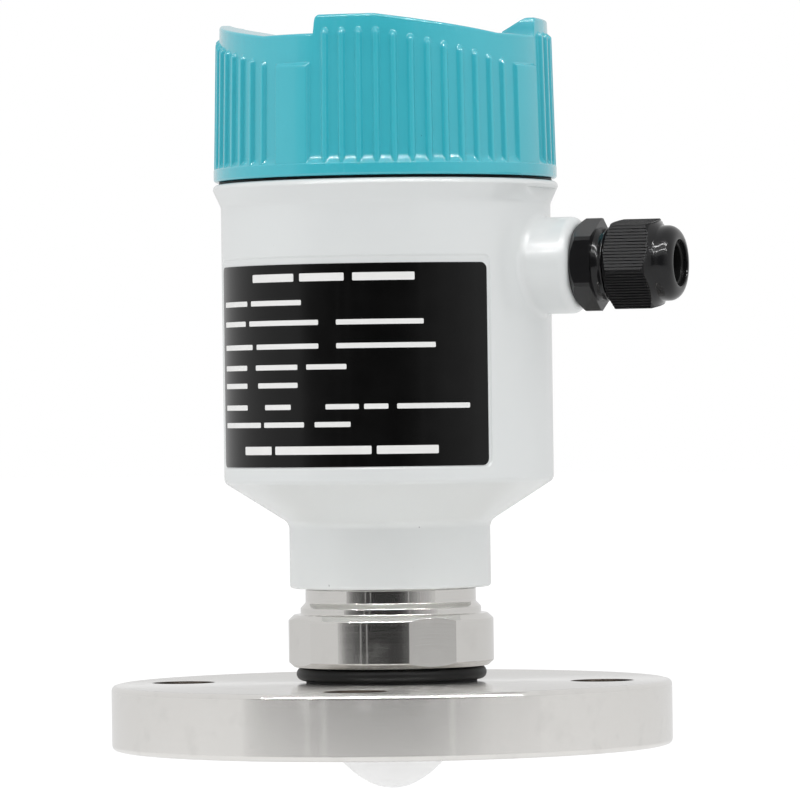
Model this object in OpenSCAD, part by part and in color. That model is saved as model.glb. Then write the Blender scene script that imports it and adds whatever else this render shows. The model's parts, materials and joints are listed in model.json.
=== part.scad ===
// Radar level transmitter: an 80 GHz lens antenna in a flanged process fitting,
// under a round two-part housing with a screw lid and a cable gland.
//
// Frame: the origin is the centre of the flange's sealing face, +Z runs up the antenna's axis,
// +X runs out along the cable gland and -Y passes through the middle of the nameplate.
// Angles round the axis are counted from -Y towards +X. All lengths are in millimetres.

/* [Flange] */
// Outside diameter of the flange, DN 50
flange_d = 165; // [150:1:185]
// Thickness of the flange
flange_t = 19; // [15:0.5:24]
// Bevel on the flange's outer edges
flange_bevel = 1.5; // [0.5:0.1:2.5]
// Diameter of the bolt circle
bolt_circle_d = 125; // [110:1:128]
// Diameter of each bolt hole
bolt_hole_d = 18; // [12:0.5:20]
// Bevel round the upper end of each bolt hole
bolt_hole_bevel = 0.4; // [0.2:0.1:1.5]
// Number of bolt holes
bolt_count = 4; // [4:1:6]
// Angle of the first bolt hole
bolt_angle = 11; // [0:1:45]

/* [Process fitting] */
// Major diameter of the process thread, G 1 1/2
thread_d = 47.8; // [46:0.1:50]
// Height of the thread's end above the sealing face
thread_end_h = 0.8; // [0.4:0.1:2]
// Thickness of the flat washer on the flange
washer_t = 0.6; // [0.4:0.1:3]
// Outside diameter of the flat washer
washer_d = 50.4; // [50:0.1:52]
// Thickness of the round seal between flange and fitting
flange_seal_t = 4; // [3:0.1:5]
// Outside diameter of that round seal
flange_seal_d = 56; // [55:0.5:58]
// Diameter of the fitting's disc
disc_d = 60.4; // [58:0.2:64]
// Height of the fitting's disc
disc_h = 15.4; // [12:0.2:20]
// Bevel on both edges of the disc
disc_bevel = 1.5; // [0.8:0.1:2.5]
// Width across the disc's wrench flats
wrench_w = 58.5; // [56:0.1:59.6]
// Number of wrench flats
wrench_flats = 4; // [2:2:6]
// Diameter of the collar on the disc
collar_d = 53.2; // [52:0.2:56]
// Height of the collar
collar_h = 1.9; // [1:0.1:3]
// Height of the cone above the collar
collar_cone_h = 1.6; // [0.8:0.1:3]
// Diameter of the short pillar under the housing
pillar_d = 50.2; // [48:0.2:51]
// Height of the pillar
pillar_h = 3.9; // [2:0.1:6]
// Diameter of the spigot that the housing turns on
spigot_d = 45.9; // [45:0.1:47]
// Diameter of the fitting's upper bore
fitting_bore_d = 35; // [30:0.5:37]

/* [Antenna] */
// How far the lens stands out below the sealing face
lens_drop = 12.3; // [8:0.1:16]
// Diameter of the lens at the sealing face
lens_d = 37.2; // [34:0.1:38]
// Diameter of the lens's shoulder inside the fitting
lens_shoulder_d = 41.1; // [40:0.1:42]
// Height of the lens's shoulder
lens_shoulder_h = 7.8; // [6:0.1:10]
// Height of the ring that holds the lens
lens_ring_h = 4; // [3:0.1:5]
// Thickness of the lens's round seal
lens_seal_t = 1.8; // [1.4:0.1:2.2]
// Height of the feed horn
horn_h = 21; // [18:0.5:22]
// Diameter of the horn's wide mouth
horn_mouth_d = 25; // [20:0.5:27]
// Diameter of the waveguide at the horn's throat
horn_throat_d = 3.2; // [2.4:0.1:4]
// Thickness of the radar circuit board
board_t = 1.6; // [1.2:0.1:2]
// Height of the shield can on the board
shield_h = 4; // [3:0.1:6]
// Diameter of the shield can
shield_d = 24; // [20:0.5:26]
// Diameter of the lead from the board to the electronics
lead_d = 4.4; // [3:0.1:6]
// Diameter of the lead's plug
plug_d = 9; // [7:0.1:12]
// Height of the lead's plug
plug_h = 6; // [5:0.1:8]

/* [Housing] */
// Diameter of the housing's neck
neck_d = 59.2; // [58:0.2:64]
// Height of the neck
neck_h = 19.2; // [18:0.2:24]
// Height of the cone between neck and barrel
cone_h = 12; // [10:0.5:18]
// Outside diameter of the barrel
barrel_d = 97; // [94:0.5:106]
// Height of the barrel up to the flared rim
barrel_h = 81; // [78:0.5:100]
// How far the flared rim stands out from the barrel
rim_flare = 2.3; // [1.5:0.1:4]
// Height of the flare
flare_h = 5; // [3:0.1:8]
// Height of the rim above the flare
rim_h = 1.6; // [1:0.1:3]
// Wall thickness of the barrel
barrel_wall = 4.3; // [3:0.1:5]
// Wall thickness of the neck above the swivel's shoulder
neck_wall = 4; // [3:0.1:4.5]
// Height of the swivel's shoulder above the housing's lower end
shoulder_h = 14.7; // [12:0.1:16]
// Wall thickness of the barrel round the lid's thread
lid_bore_wall = 2.8; // [2:0.1:3.4]
// Depth of the bore for the lid's thread
lid_bore_h = 15.6; // [14:0.1:20]
// Depth of the nameplate's recess
recess_t = 0.6; // [0.4:0.05:1]
// Border of the recess round the nameplate
recess_border = 1.2; // [0.5:0.1:2.5]

/* [Nameplate] */
// Half of the angle that the nameplate covers
plate_half_angle = 58.5; // [40:0.5:62]
// Height of the nameplate
plate_h = 58.5; // [40:0.5:60]
// Height of the nameplate's lower edge above the barrel's lower end
plate_lift = 4.7; // [3:0.1:8]
// Thickness of the nameplate
plate_t = 0.5; // [0.3:0.05:0.6]
// Corner radius of the nameplate
plate_corner = 2; // [1:0.1:4]

/* [Gland boss] */
// Diameter of the boss
boss_d = 28.2; // [27:0.2:32]
// Length of the boss beyond the barrel's wall
boss_l = 11.9; // [9:0.1:20]
// Depth of the boss's axis below the flare
boss_drop = 18.6; // [17:0.1:22]
// Radius of the rounding on the boss's end
boss_round = 2.7; // [1:0.1:3]
// Radius of the fillet at the boss's root
boss_root = 2; // [1:0.1:3]
// Major diameter of the gland's thread, M20
gland_thread_d = 20; // [18:0.1:21]
// Length of the gland's thread
gland_thread_l = 10; // [8:0.5:12]
// Width of the flat over the boss, where the flare is cut away
notch_half_angle = 16.5; // [10:0.5:25]
// How far the flat over the boss stands out from the barrel
notch_step = 0.2; // [0.1:0.1:1]

/* [Gland] */
// Thickness of the gland's washer
gland_washer_t = 0.5; // [0.3:0.1:1.5]
// Width across flats of the gland's body and nut
gland_w = 24; // [23:0.1:26]
// Width across the body's hexagon at its trimmed corners
gland_corner_w = 27; // [25:0.1:27.6]
// Length of the body's hexagon
gland_hex_l = 6.2; // [5:0.1:9]
// Length of the bevel that the hexagon has towards the housing
gland_hex_bevel_l = 1.8; // [1:0.1:2.5]
// Length of the round neck between the body's hexagon and its nut
gland_neck_l = 3; // [1.5:0.1:4]
// Diameter of that neck
gland_neck_d = 21; // [20:0.1:21.6]
// Length of the nut's lower bevel
nut_bevel_l = 2.1; // [1.5:0.1:4]
// Radial depth of the nut's lower bevel below its flats
nut_bevel_t = 1.1; // [0.6:0.1:1.4]
// Length of the nut's hexagon above that bevel
nut_hex_l = 12.2; // [9:0.1:13]
// Length of the bevel at the hexagon's upper end
nut_end_bevel_l = 1.5; // [1:0.1:2]
// Length of the nut's dome
nut_dome_l = 6.3; // [5.5:0.1:8]
// Diameter of the dome
nut_dome_d = 21.9; // [21.4:0.1:23]
// Radius that rounds the dome's end
nut_dome_round = 3.6; // [2:0.1:3.8]
// Diameter of the nut's mouth
nut_mouth_d = 13.6; // [12.5:0.1:14]
// Thickness of the nut's lip at its mouth
nut_lip = 1.3; // [0.8:0.1:1.6]
// Major diameter of the nut's thread on the body
nut_thread_d = 18.8; // [18:0.1:19.2]
// Length of the body's nut thread
nut_thread_l = 9.3; // [8:0.1:11]
// Length of the body's clamping claws
claw_l = 5; // [4:0.1:6]
// Number of clamping claws
claw_count = 8; // [6:1:10]
// Diameter of the insert's cable bore
cable_d = 11; // [8:0.1:12]
// Outside diameter of the insert
insert_d = 15; // [14.6:0.1:15.4]
// Angle that the body's hexagon is turned by
gland_body_turn = -3.5; // [-30:0.5:30]
// Angle that the nut's hexagon is turned by
gland_nut_turn = -21; // [-30:0.5:30]

/* [Lid] */
// Gap between the rim and the lid, which the seal fills
lid_gap = 1.1; // [0.8:0.1:2]
// How far the lid's skirt lies inside the rim
skirt_inset = 0.3; // [0:0.1:1]
// Height of the lid's plain skirt
skirt_h = 3.7; // [2:0.1:6]
// How far the lid's wall lies inside the skirt at its foot, between the ribs
wall_inset = 1.3; // [1.2:0.1:2]
// How far the lid's wall leans inwards over its height
wall_lean = 1; // [0:0.1:2]
// Height of the lid from its lower edge to its highest rim
lid_h = 46.1; // [44:0.1:50]
// Depth of the lowest part of the rim below the highest
rim_drop = 5.3; // [2:0.1:6]
// Number of equal lobes round the lid
lobes = 4; // [2:1:5]
// Angle of the first lobe's step
lobe_angle = -4; // [-45:0.5:45]
// Number of ribs on each lobe
ribs = 12; // [6:1:12]
// Width of a rib
rib_w = 1.65; // [1:0.05:2]
// How far a rib stands out from the wall
rib_t = 1.15; // [0.8:0.05:1.4]
// Number of full-height ribs at the start of a lobe
tall_ribs = 4; // [1:1:5]
// Depth of the tall ribs' tops below the highest rim
rib_top_depth = 4.4; // [3:0.1:8]
// How much lower the last rib ends than the first
rib_fall = 8.5; // [4:0.1:12]
// Depth of the panel's top below the highest rim
panel_depth = 13.9; // [10:0.1:20]
// Width of the rim's top
rim_top_w = 3.3; // [2:0.1:5]
// Width of the whole rim, down to the dish
rim_w = 11.8; // [10:0.1:14]
// Depth of the slope that ends the rim's upper part
rim_slope_h = 3.8; // [3:0.1:5]
// Depth of the dish in the lid's top
dish_h = 8.3; // [6:0.1:10]
// Thickness of the lid's top wall
lid_top_t = 4; // [3:0.1:6]
// Thickness of the lid's threaded spigot
lid_spigot_t = 3.2; // [2.5:0.1:4]
// Length of the lid's threaded spigot
lid_spigot_h = 13; // [10:0.1:14]

/* [Electronics] */
// Height of the module's underside above the barrel's lower end
module_lift = 14; // [12:0.5:18]
// Thickness of the module's base plate
module_base_t = 4; // [3:0.1:6]
// Gap between the module's base plate and the barrel's wall
module_gap = 1.7; // [1:0.1:2]
// Gap between the module's cup and the circle of posts
cup_inset = 5; // [4:0.5:8]
// Height of the module's potted cup
module_cup_h = 30; // [24:0.5:32]
// Distance of the posts' middles from the barrel's inner wall
post_inset = 6.2; // [5:0.1:7]
// Diameter of each fixing post
post_d = 7; // [6:0.1:8]
// Number of fixing posts
post_count = 3; // [3:1:4]
// Length of the terminal block
terminal_l = 32; // [24:0.5:40]
// Width of the terminal block
terminal_w = 14; // [10:0.5:18]
// Height of the terminal block
terminal_h = 10; // [8:0.5:12]
// Number of terminals
terminal_count = 4; // [2:1:5]
// Diameter of a terminal's screw
terminal_screw_d = 4; // [3:0.1:4.4]
// Height of a terminal's screw
terminal_screw_h = 2.4; // [1.6:0.1:3]
// Diameter of a terminal's wire hole
terminal_wire_d = 2.8; // [2:0.1:3]
// Diameter of the screws that hold the module
module_screw_d = 3; // [2.5:0.5:4]
// How deep those screws reach into the posts
module_screw_bite = 7; // [5:0.5:8]
// Diameter of the screws that hold the circuit board
board_screw_d = 2; // [1.6:0.1:2.2]
// How deep those screws reach into the horn
board_screw_bite = 3.5; // [2.5:0.1:4]

/* [Clearances] */
// Gap between flat faces that seat on each other
face_gap = 0.05; // [0.02:0.01:0.1]
// Radial gap in screwed and pushed-in fits
fit_gap = 0.1; // [0.05:0.01:0.15]
// Radial gap in the housing's swivel
swivel_fit = 0.05; // [0.02:0.01:0.08]
// Gap between pieces that move past each other
move_gap = 0.3; // [0.3:0.05:0.5]

/* [Hidden] */
$fn = 96;

// Heights of the fitting's faces
z_seal = flange_t + washer_t;
z_disc = z_seal + flange_seal_t + 2 * face_gap;
z_collar = z_disc + disc_h;
z_pillar = z_collar + collar_h + collar_cone_h;
z_spigot = z_pillar + pillar_h;
z_neck = z_spigot + move_gap;

// Heights inside the antenna
z_lens_ring = thread_end_h;
z_lens_shoulder = z_lens_ring + lens_ring_h + face_gap;
z_lens_top = z_lens_shoulder + lens_shoulder_h;
z_horn = z_lens_top + face_gap;
// The horn's foot is narrower than its body, which stands on a shoulder below the disc
horn_shoulder_drop = 1.7;
horn_shoulder_w = 2.7;
horn_foot_h = z_disc - horn_shoulder_drop - z_horn;
horn_foot_d = fitting_bore_d - 2 * horn_shoulder_w;
z_board = z_horn + horn_h;
z_shield = z_board + board_t;
board_d = fitting_bore_d - 4 * fit_gap;
board_screw_circle_d = (board_d + shield_d) / 2;

// Heights of the housing's faces
z_shoulder = z_neck + shoulder_h;
z_cone = z_neck + neck_h;
z_barrel = z_cone + cone_h;
z_flare = z_barrel + barrel_h;
z_rim = z_flare + flare_h + rim_h;
z_lid = z_rim + lid_gap;
neck_bore_d = spigot_d + 2 * swivel_fit;
neck_inner_d = neck_d - 2 * neck_wall;
chamber_d = barrel_d - 2 * barrel_wall;
rim_d = barrel_d + 2 * rim_flare;
lid_bore_d = barrel_d - 2 * lid_bore_wall;
// How far the cone's inside starts and ends above its outside
cone_floor = 1.5;
barrel_floor = 2;

// Grooves in the swivel's spigot, counted up from its lower end
neck_seal_t = 2.2;
neck_seal_h = 3.6;
lock_groove_h = 8.6;
lock_groove_w = 3;
lock_groove_t = 1.2;
ring_t = 1.2;
ring_groove_t = 1.4;
z_ring = z_shoulder + move_gap;
spigot_lip_h = 1.6;
z_spigot_top = z_ring + ring_t + spigot_lip_h;

// The lock screw, an M5 set screw with a dog point
lock_screw_d = 5;
lock_point_d = 2.4;
z_lock = z_spigot + lock_groove_h + lock_groove_w / 2;

// Nameplate and recess
z_plate = z_barrel + plate_lift;
z_boss = z_flare - boss_drop;
boss_reach = barrel_d / 2 + boss_l;
notch_reach = barrel_d / 2 + notch_step;

// The gland's lengths along its own axis, from the housing's axis
x_hex = boss_reach + gland_washer_t;
x_neck = x_hex + gland_hex_l;
x_nut = x_neck + gland_neck_l + move_gap;
x_nut_hex = x_nut + nut_bevel_l;
x_nut_dome = x_nut_hex + nut_hex_l;
x_nut_end = x_nut_dome + nut_dome_l;
claw_d = nut_thread_d - 1;
claw_bore_d = insert_d + 2 * fit_gap;
body_bore_d = cable_d + 1.6;
claw_slot_w = 0.8;
x_claw = x_neck + gland_neck_l + nut_thread_l;
insert_seat_h = 4.1;
x_insert = x_hex + insert_seat_h;
x_insert_end = x_nut_end - nut_lip - face_gap;

// The lid's heights, counted from its lower edge
z_top = z_lid + lid_h;
skirt_d = rim_d - 2 * skirt_inset;
wall_foot_d = skirt_d - 2 * wall_inset;
wall_top_d = wall_foot_d - 2 * wall_lean;
lobe_step = 360 / lobes;
plateau_span = 0.24 * lobe_step;
low_start = 0.756 * lobe_step;
rib_first = 0.047 * lobe_step;
rib_pitch = 0.7213 * lobe_step / (ribs - 1);
panel_start = 0.833 * lobe_step;
panel_span = 0.15 * lobe_step;
skirt_slope_h = 1.4;
// The slopes in the dish and inside the lid's spigot
dish_slope_w = 1.8;
crown_slope_w = 6;
crown_slope_h = 5;
lid_spigot_d = lid_bore_d - 2 * move_gap;
lid_inner_d = lid_spigot_d - 2 * lid_spigot_t;

// The electronics in the chamber
z_module = z_barrel + module_lift;
module_base_d = chamber_d - 2 * module_gap;
post_circle_d = chamber_d - 2 * post_inset;
module_cup_d = post_circle_d - 2 * cup_inset;
z_cup = z_module + module_base_t;
z_cup_top = z_cup + module_cup_h;
post_angle = 30;
module_screw_head_d = module_screw_d * 1.8;
module_screw_head_h = module_screw_d * 0.7;
terminal_pitch = terminal_l / terminal_count;

// ---------------------------------------------------------------- shared shapes

function unit(v) = v / norm(v);

// Points of the arc, of radius r, that rounds the corner b between a and c
function corner(a, b, c, r, steps) = r <= 0 ? [b] :
    let (
        u = unit(a - b),
        v = unit(c - b),
        half = acos(u * v) / 2,
        centre = b + unit(u + v) * r / sin(half),
        from = b + u * r / tan(half) - centre,
        to = b + v * r / tan(half) - centre,
        start = atan2(from.y, from.x),
        turn = atan2(from.x * to.y - from.y * to.x, from * to)
    )
    [for (i = [0:steps]) centre + r * [cos(start + turn * i / steps), sin(start + turn * i / steps)]];

// An outline of [x, y] or [x, y, corner radius] points, with its corners rounded
function rounded(points, steps = 4) =
    let (n = len(points))
    [for (i = [0:n - 1])
        let (
            before = points[(i + n - 1) % n],
            here = points[i],
            after = points[(i + 1) % n]
        )
        each corner([before.x, before.y], [here.x, here.y], [after.x, after.y],
            len(here) > 2 ? here[2] : 0, steps)];

// A solid turned round the Z axis from an outline of [radius, height, corner radius] points
module turned(points, steps = 4) {
    rotate_extrude() polygon(rounded(points, steps));
}

// A straight ring
module ring(outer_d, inner_d, low, high) {
    difference() {
        translate([0, 0, low]) cylinder(d = outer_d, h = high - low);
        translate([0, 0, low - 1]) cylinder(d = inner_d, h = high - low + 2);
    }
}

// A round seal: its outside diameter, thickness and lowest height
module round_seal(outer_d, t, low) {
    translate([0, 0, low + t / 2]) rotate_extrude() translate([(outer_d - t) / 2, 0]) circle(d = t, $fn = 32);
}

// Turns its children to an angle counted from -Y towards +X, with their own -Y outwards
module at_angle(angle) {
    rotate([0, 0, angle]) children();
}

// Lays its children's Z axis along the gland's axis
module along_gland() {
    translate([0, 0, z_boss]) rotate([0, 90, 0]) children();
}

// A hexagon's prism, of a given width across flats
module hexagon(w, low, high) {
    translate([0, 0, low]) cylinder(d = w / cos(30), h = high - low, $fn = 6);
}

// A pan-head screw with its head's underside at height 0 and a cross slot
module pan_screw(d, shank_l, head_d, head_h) {
    difference() {
        union() {
            turned([[0, 0], [head_d / 2, 0], [head_d / 2, head_h, head_h * 0.6], [0, head_h]]);
            translate([0, 0, -shank_l]) cylinder(d = d, h = shank_l + 0.1);
        }
        for (a = [0, 90]) rotate([0, 0, a])
            translate([-head_d * 0.3, -d / 10, head_h * 0.5]) cube([head_d * 0.6, d / 5, head_h]);
    }
}

// A part of a tube's wall, with rounded corners: half angle, heights, radii and corner radius
module wall_plate(half_angle, low, high, inner_r, outer_r, corner_r) {
    difference() {
        rotate([0, 0, -90 - half_angle]) rotate_extrude(angle = 2 * half_angle)
            translate([inner_r, low]) square([outer_r - inner_r, high - low]);
        for (side = [-1, 1], end = [0, 1])
            at_angle(side * half_angle)
                translate([0, -inner_r + 1, end == 0 ? low : high])
                    rotate([90, 0, 0])
                        scale([side, end == 0 ? -1 : 1, 1])
                            linear_extrude(outer_r - inner_r + 3)
                                polygon(concat([[1, 1], [-corner_r, 1]],
                                    [for (a = [90:-22.5:0])
                                        corner_r * [cos(a) - 1, sin(a) - 1]], [[1, -corner_r]]));
    }
}

// ---------------------------------------------------------------- flange and its seals

module flange() {
    color("lightgray") difference() {
        turned([
            [thread_d / 2 + fit_gap, 0],
            [flange_d / 2 - flange_bevel, 0],
            [flange_d / 2, flange_bevel],
            [flange_d / 2, flange_t - flange_bevel],
            [flange_d / 2 - flange_bevel, flange_t],
            [thread_d / 2 + fit_gap, flange_t]
        ]);
        for (i = [0:bolt_count - 1]) at_angle(bolt_angle + i * 360 / bolt_count)
            translate([0, -bolt_circle_d / 2, 0]) bolt_hole();
    }
}

module bolt_hole() {
    translate([0, 0, -1]) cylinder(d = bolt_hole_d, h = flange_t + 2);
    translate([0, 0, flange_t - bolt_hole_bevel])
        cylinder(d1 = bolt_hole_d, d2 = bolt_hole_d + 4 * bolt_hole_bevel, h = 2 * bolt_hole_bevel);
}

module seal_washer() {
    color("dimgray") ring(washer_d, thread_d + 2 * fit_gap, flange_t, flange_t + washer_t);
}

module flange_seal() {
    color("black") round_seal(flange_seal_d, flange_seal_t, z_seal + face_gap);
}

// ---------------------------------------------------------------- process fitting

module process_fitting() {
    r_thread = thread_d / 2;
    r_spigot = spigot_d / 2;
    r_pocket = lens_shoulder_d / 2 + fit_gap;
    color("silver") difference() {
        turned([
            [r_pocket, thread_end_h],
            [r_thread - 0.8, thread_end_h],
            [r_thread, thread_end_h + 0.8],
            [r_thread, z_disc],
            [disc_d / 2 - disc_bevel, z_disc],
            [disc_d / 2, z_disc + disc_bevel],
            [disc_d / 2, z_collar - disc_bevel],
            [disc_d / 2 - disc_bevel, z_collar],
            [collar_d / 2, z_collar],
            [collar_d / 2, z_collar + collar_h],
            [pillar_d / 2, z_pillar],
            [pillar_d / 2, z_spigot],
            [r_spigot, z_spigot],
            [r_spigot, z_spigot_top],
            [fitting_bore_d / 2, z_spigot_top],
            [fitting_bore_d / 2, z_horn + horn_foot_h],
            [horn_foot_d / 2 + fit_gap, z_horn + horn_foot_h],
            [horn_foot_d / 2 + fit_gap, z_horn],
            [r_pocket, z_horn]
        ]);
        for (i = [0:wrench_flats - 1]) at_angle(45 + i * 360 / wrench_flats)
            translate([-disc_d, -wrench_w / 2 - disc_d, z_disc - 1]) cube([2 * disc_d, disc_d, disc_h + 2]);
        spigot_groove(z_spigot + neck_seal_h, neck_seal_t + 0.6, neck_seal_t + fit_gap);
        spigot_groove(z_spigot + lock_groove_h, lock_groove_w, lock_groove_t);
        spigot_groove(z_ring - face_gap, ring_t + 2 * face_gap, ring_groove_t);
    }
}

module spigot_groove(low, width, depth) {
    ring(spigot_d + 2, spigot_d - 2 * depth, low, low + width);
}

// The lens's outer curve is a parabola that ends at the sealing face
module lens() {
    r = lens_d / 2;
    steps = 16;
    groove_low = z_lens_shoulder + (lens_shoulder_h - lens_seal_t) / 2 - move_gap;
    groove_high = groove_low + lens_seal_t + 2 * move_gap;
    groove_r = lens_shoulder_d / 2 - lens_seal_t;
    shoulder_r = lens_shoulder_d / 2;
    color("white") rotate_extrude() polygon(concat(
        [for (i = [0:steps]) [r * i / steps, -lens_drop * (1 - pow(i / steps, 2))]],
        [
            [r, z_lens_shoulder],
            [shoulder_r, z_lens_shoulder],
            [shoulder_r, groove_low],
            [groove_r, groove_low],
            [groove_r, groove_high],
            [shoulder_r, groove_high],
            [shoulder_r, z_lens_top],
            [0, z_lens_top]
        ]
    ));
}

module lens_seal() {
    color("black") round_seal(lens_shoulder_d + fit_gap, lens_seal_t,
        z_lens_shoulder + (lens_shoulder_h - lens_seal_t) / 2);
}

module lens_ring() {
    color("silver") difference() {
        ring(lens_shoulder_d, lens_d + 2 * fit_gap, z_lens_ring, z_lens_ring + lens_ring_h);
        for (a = [0, 90]) rotate([0, 0, a])
            translate([-lens_shoulder_d, -1.2, z_lens_ring - 1]) cube([2 * lens_shoulder_d, 2.4, 2.2]);
    }
}

module feed_horn() {
    throat_h = horn_h - 3;
    color("gainsboro") difference() {
        turned([
            [horn_mouth_d / 2, z_horn],
            [horn_foot_d / 2, z_horn],
            [horn_foot_d / 2, z_horn + horn_foot_h + face_gap],
            [fitting_bore_d / 2 - fit_gap, z_horn + horn_foot_h + face_gap],
            [fitting_bore_d / 2 - fit_gap, z_board],
            [horn_throat_d / 2, z_board],
            [horn_throat_d / 2, z_horn + throat_h]
        ]);
        board_screw_places() translate([0, 0, z_board - board_screw_bite - move_gap])
            cylinder(d = board_screw_d, h = board_screw_bite + 1);
    }
}

module board_screw_places() {
    for (i = [0:2]) at_angle(i * 120) translate([0, -board_screw_circle_d / 2, 0]) children();
}

module rf_board() {
    color("darkgreen") difference() {
        translate([0, 0, z_board]) cylinder(d = board_d, h = board_t);
        board_screw_places() translate([0, 0, z_board - 1]) cylinder(d = board_screw_d, h = board_t + 2);
    }
}

module board_screws() {
    color("silver") board_screw_places() translate([0, 0, z_shield])
        pan_screw(board_screw_d - 2 * face_gap, board_t + board_screw_bite, board_screw_d * 1.5,
            board_screw_d * 0.6);
}

module rf_shield() {
    color("lightgray") difference() {
        translate([0, 0, z_shield]) cylinder(d = shield_d, h = shield_h);
        translate([0, 0, z_shield - 1]) cylinder(d = shield_d - 1, h = shield_h + 0.5);
    }
}

// The lead runs straight up the axis, so that the housing can turn round it
module signal_lead() {
    color("black") translate([0, 0, z_shield + shield_h])
        cylinder(d = lead_d, h = z_module + 0.5 - z_shield - shield_h);
}

module lead_plug() {
    color("dimgray") translate([0, 0, z_module + 0.5]) cylinder(d = plug_d, h = plug_h);
}

module neck_seal() {
    color("black") round_seal(spigot_d - fit_gap, neck_seal_t, z_spigot + neck_seal_h + 0.3);
}

// An open spring ring in the spigot's top groove, over the shoulder in the housing's neck
module swivel_ring() {
    color("silver") difference() {
        ring(neck_inner_d - 4 * move_gap, spigot_d - 2 * ring_groove_t + 2 * fit_gap, z_ring, z_ring + ring_t);
        translate([-3, 0, z_ring - 1]) cube([6, spigot_d, ring_t + 2]);
    }
}

// ---------------------------------------------------------------- housing

module housing() {
    color("whitesmoke") difference() {
        union() {
            housing_shell();
            gland_boss();
            fixing_posts();
        }
        wall_plate(
            plate_half_angle + recess_border * 360 / (PI * barrel_d), z_plate - recess_border / 2,
            z_plate + plate_h + 2 * recess_border, barrel_d / 2 - recess_t, barrel_d / 2 + 1, plate_corner);
        along_gland() translate([0, 0, chamber_d / 2 - 4])
            cylinder(d = gland_thread_d, h = boss_reach - chamber_d / 2 + 5);
        rim_notch();
        lock_screw_hole();
        post_places() translate([0, 0, z_module - module_screw_bite - 1])
            cylinder(d = module_screw_d, h = module_screw_bite + 2);
    }
}

module housing_shell() {
    turned([
        [neck_bore_d / 2, z_neck],
        [neck_d / 2, z_neck, 1],
        [neck_d / 2, z_cone, 3],
        [barrel_d / 2, z_barrel, 2],
        [barrel_d / 2, z_flare, 3],
        [rim_d / 2, z_flare + flare_h],
        [rim_d / 2, z_rim, 1.4],
        [lid_bore_d / 2, z_rim],
        [lid_bore_d / 2, z_rim - lid_bore_h],
        [chamber_d / 2, z_rim - lid_bore_h],
        [chamber_d / 2, z_barrel + barrel_floor],
        [neck_inner_d / 2, z_cone + cone_floor],
        [neck_inner_d / 2, z_shoulder],
        [neck_bore_d / 2, z_shoulder]
    ]);
}

// The boss's outline is turned round the gland's axis. It starts inside the barrel's wall, and its
// root is a short cone that rises out of that wall with a fillet
module gland_boss() {
    x_start = chamber_d / 2 - 6;
    x_root = barrel_d / 2 - 1.4;
    x_plain = barrel_d / 2 + 1.5;
    difference() {
        along_gland() turned([
            [0, x_start],
            [boss_d / 2 + boss_root, x_start],
            [boss_d / 2 + boss_root, x_root],
            [boss_d / 2, x_plain, boss_root],
            [boss_d / 2, boss_reach, boss_round],
            [0, boss_reach]
        ]);
        translate([0, 0, z_barrel]) cylinder(d = chamber_d + barrel_wall, h = barrel_h);
    }
}

// Over the boss the flare is cut back to a flat, up to a ledge that leaves part of the rim
module rim_notch() {
    half_w = notch_reach * tan(notch_half_angle);
    low = z_flare - 3;
    ledge = z_flare + flare_h - 0.7;
    translate([notch_reach, -half_w, low]) cube([rim_d, 2 * half_w, ledge - low]);
}

module lock_screw_hole() {
    translate([0, neck_bore_d / 2 - 2, z_lock]) rotate([-90, 0, 0]) cylinder(d = lock_screw_d, h = neck_d);
}

module post_places() {
    for (i = [0:post_count - 1]) at_angle(post_angle + i * 360 / post_count)
        translate([0, -post_circle_d / 2, 0]) children();
}

// The posts grow out of the inside of the cone's wall
module fixing_posts() {
    bite = barrel_wall / 4;
    intersection() {
        post_places() translate([-post_d / 2, -barrel_wall - post_d / 2, z_cone])
            cube([post_d, post_d + barrel_wall, z_module - z_cone]);
        turned([
            [0, z_cone],
            [neck_inner_d / 2, z_cone + cone_floor - bite],
            [chamber_d / 2 + bite, z_barrel + barrel_floor - bite],
            [chamber_d / 2 + bite, z_module],
            [0, z_module]
        ]);
    }
}

module nameplate() {
    r = barrel_d / 2 - recess_t + face_gap;
    color("#111111") wall_plate(plate_half_angle, z_plate, z_plate + plate_h, r, r + plate_t, plate_corner);
}

module lock_screw() {
    point_l = 1.2;
    tip = spigot_d / 2 - lock_groove_t + move_gap;
    length = neck_d / 2 - 0.7 - tip;
    color("dimgray") translate([0, tip, z_lock]) rotate([-90, 0, 0]) difference() {
        union() {
            cylinder(d = lock_point_d, h = length / 2);
            translate([0, 0, point_l]) cylinder(d = lock_screw_d - 2 * face_gap, h = length - point_l);
        }
        translate([0, 0, length - 2.5]) cylinder(d = 2.5 / cos(30), h = 3, $fn = 6);
    }
}

// ---------------------------------------------------------------- electronics

module electronics_module() {
    color("#20242a") difference() {
        union() {
            translate([0, 0, z_module]) cylinder(d = module_base_d, h = module_base_t);
            turned([
                [0, z_cup - 1],
                [module_cup_d / 2, z_cup - 1],
                [module_cup_d / 2, z_cup_top, 1.5],
                [0, z_cup_top]
            ]);
        }
        translate([0, 0, z_module - 1]) cylinder(d = plug_d + 2 * move_gap, h = plug_h + 1.5 + move_gap);
        post_places() translate([0, 0, z_module - 1]) cylinder(d = module_screw_d + 0.4, h = module_base_t + 2);
        post_places() translate([0, 0, z_cup])
            cylinder(d = module_screw_head_d + 1, h = module_cup_h + 1);
    }
}

module module_screws() {
    color("silver") post_places() translate([0, 0, z_cup])
        pan_screw(module_screw_d - 2 * face_gap, module_base_t + module_screw_bite, module_screw_head_d,
            module_screw_head_h);
}

module terminal_places() {
    for (i = [0:terminal_count - 1])
        translate([0, (i + 0.5) * terminal_pitch - terminal_l / 2, z_cup_top]) children();
}

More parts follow.
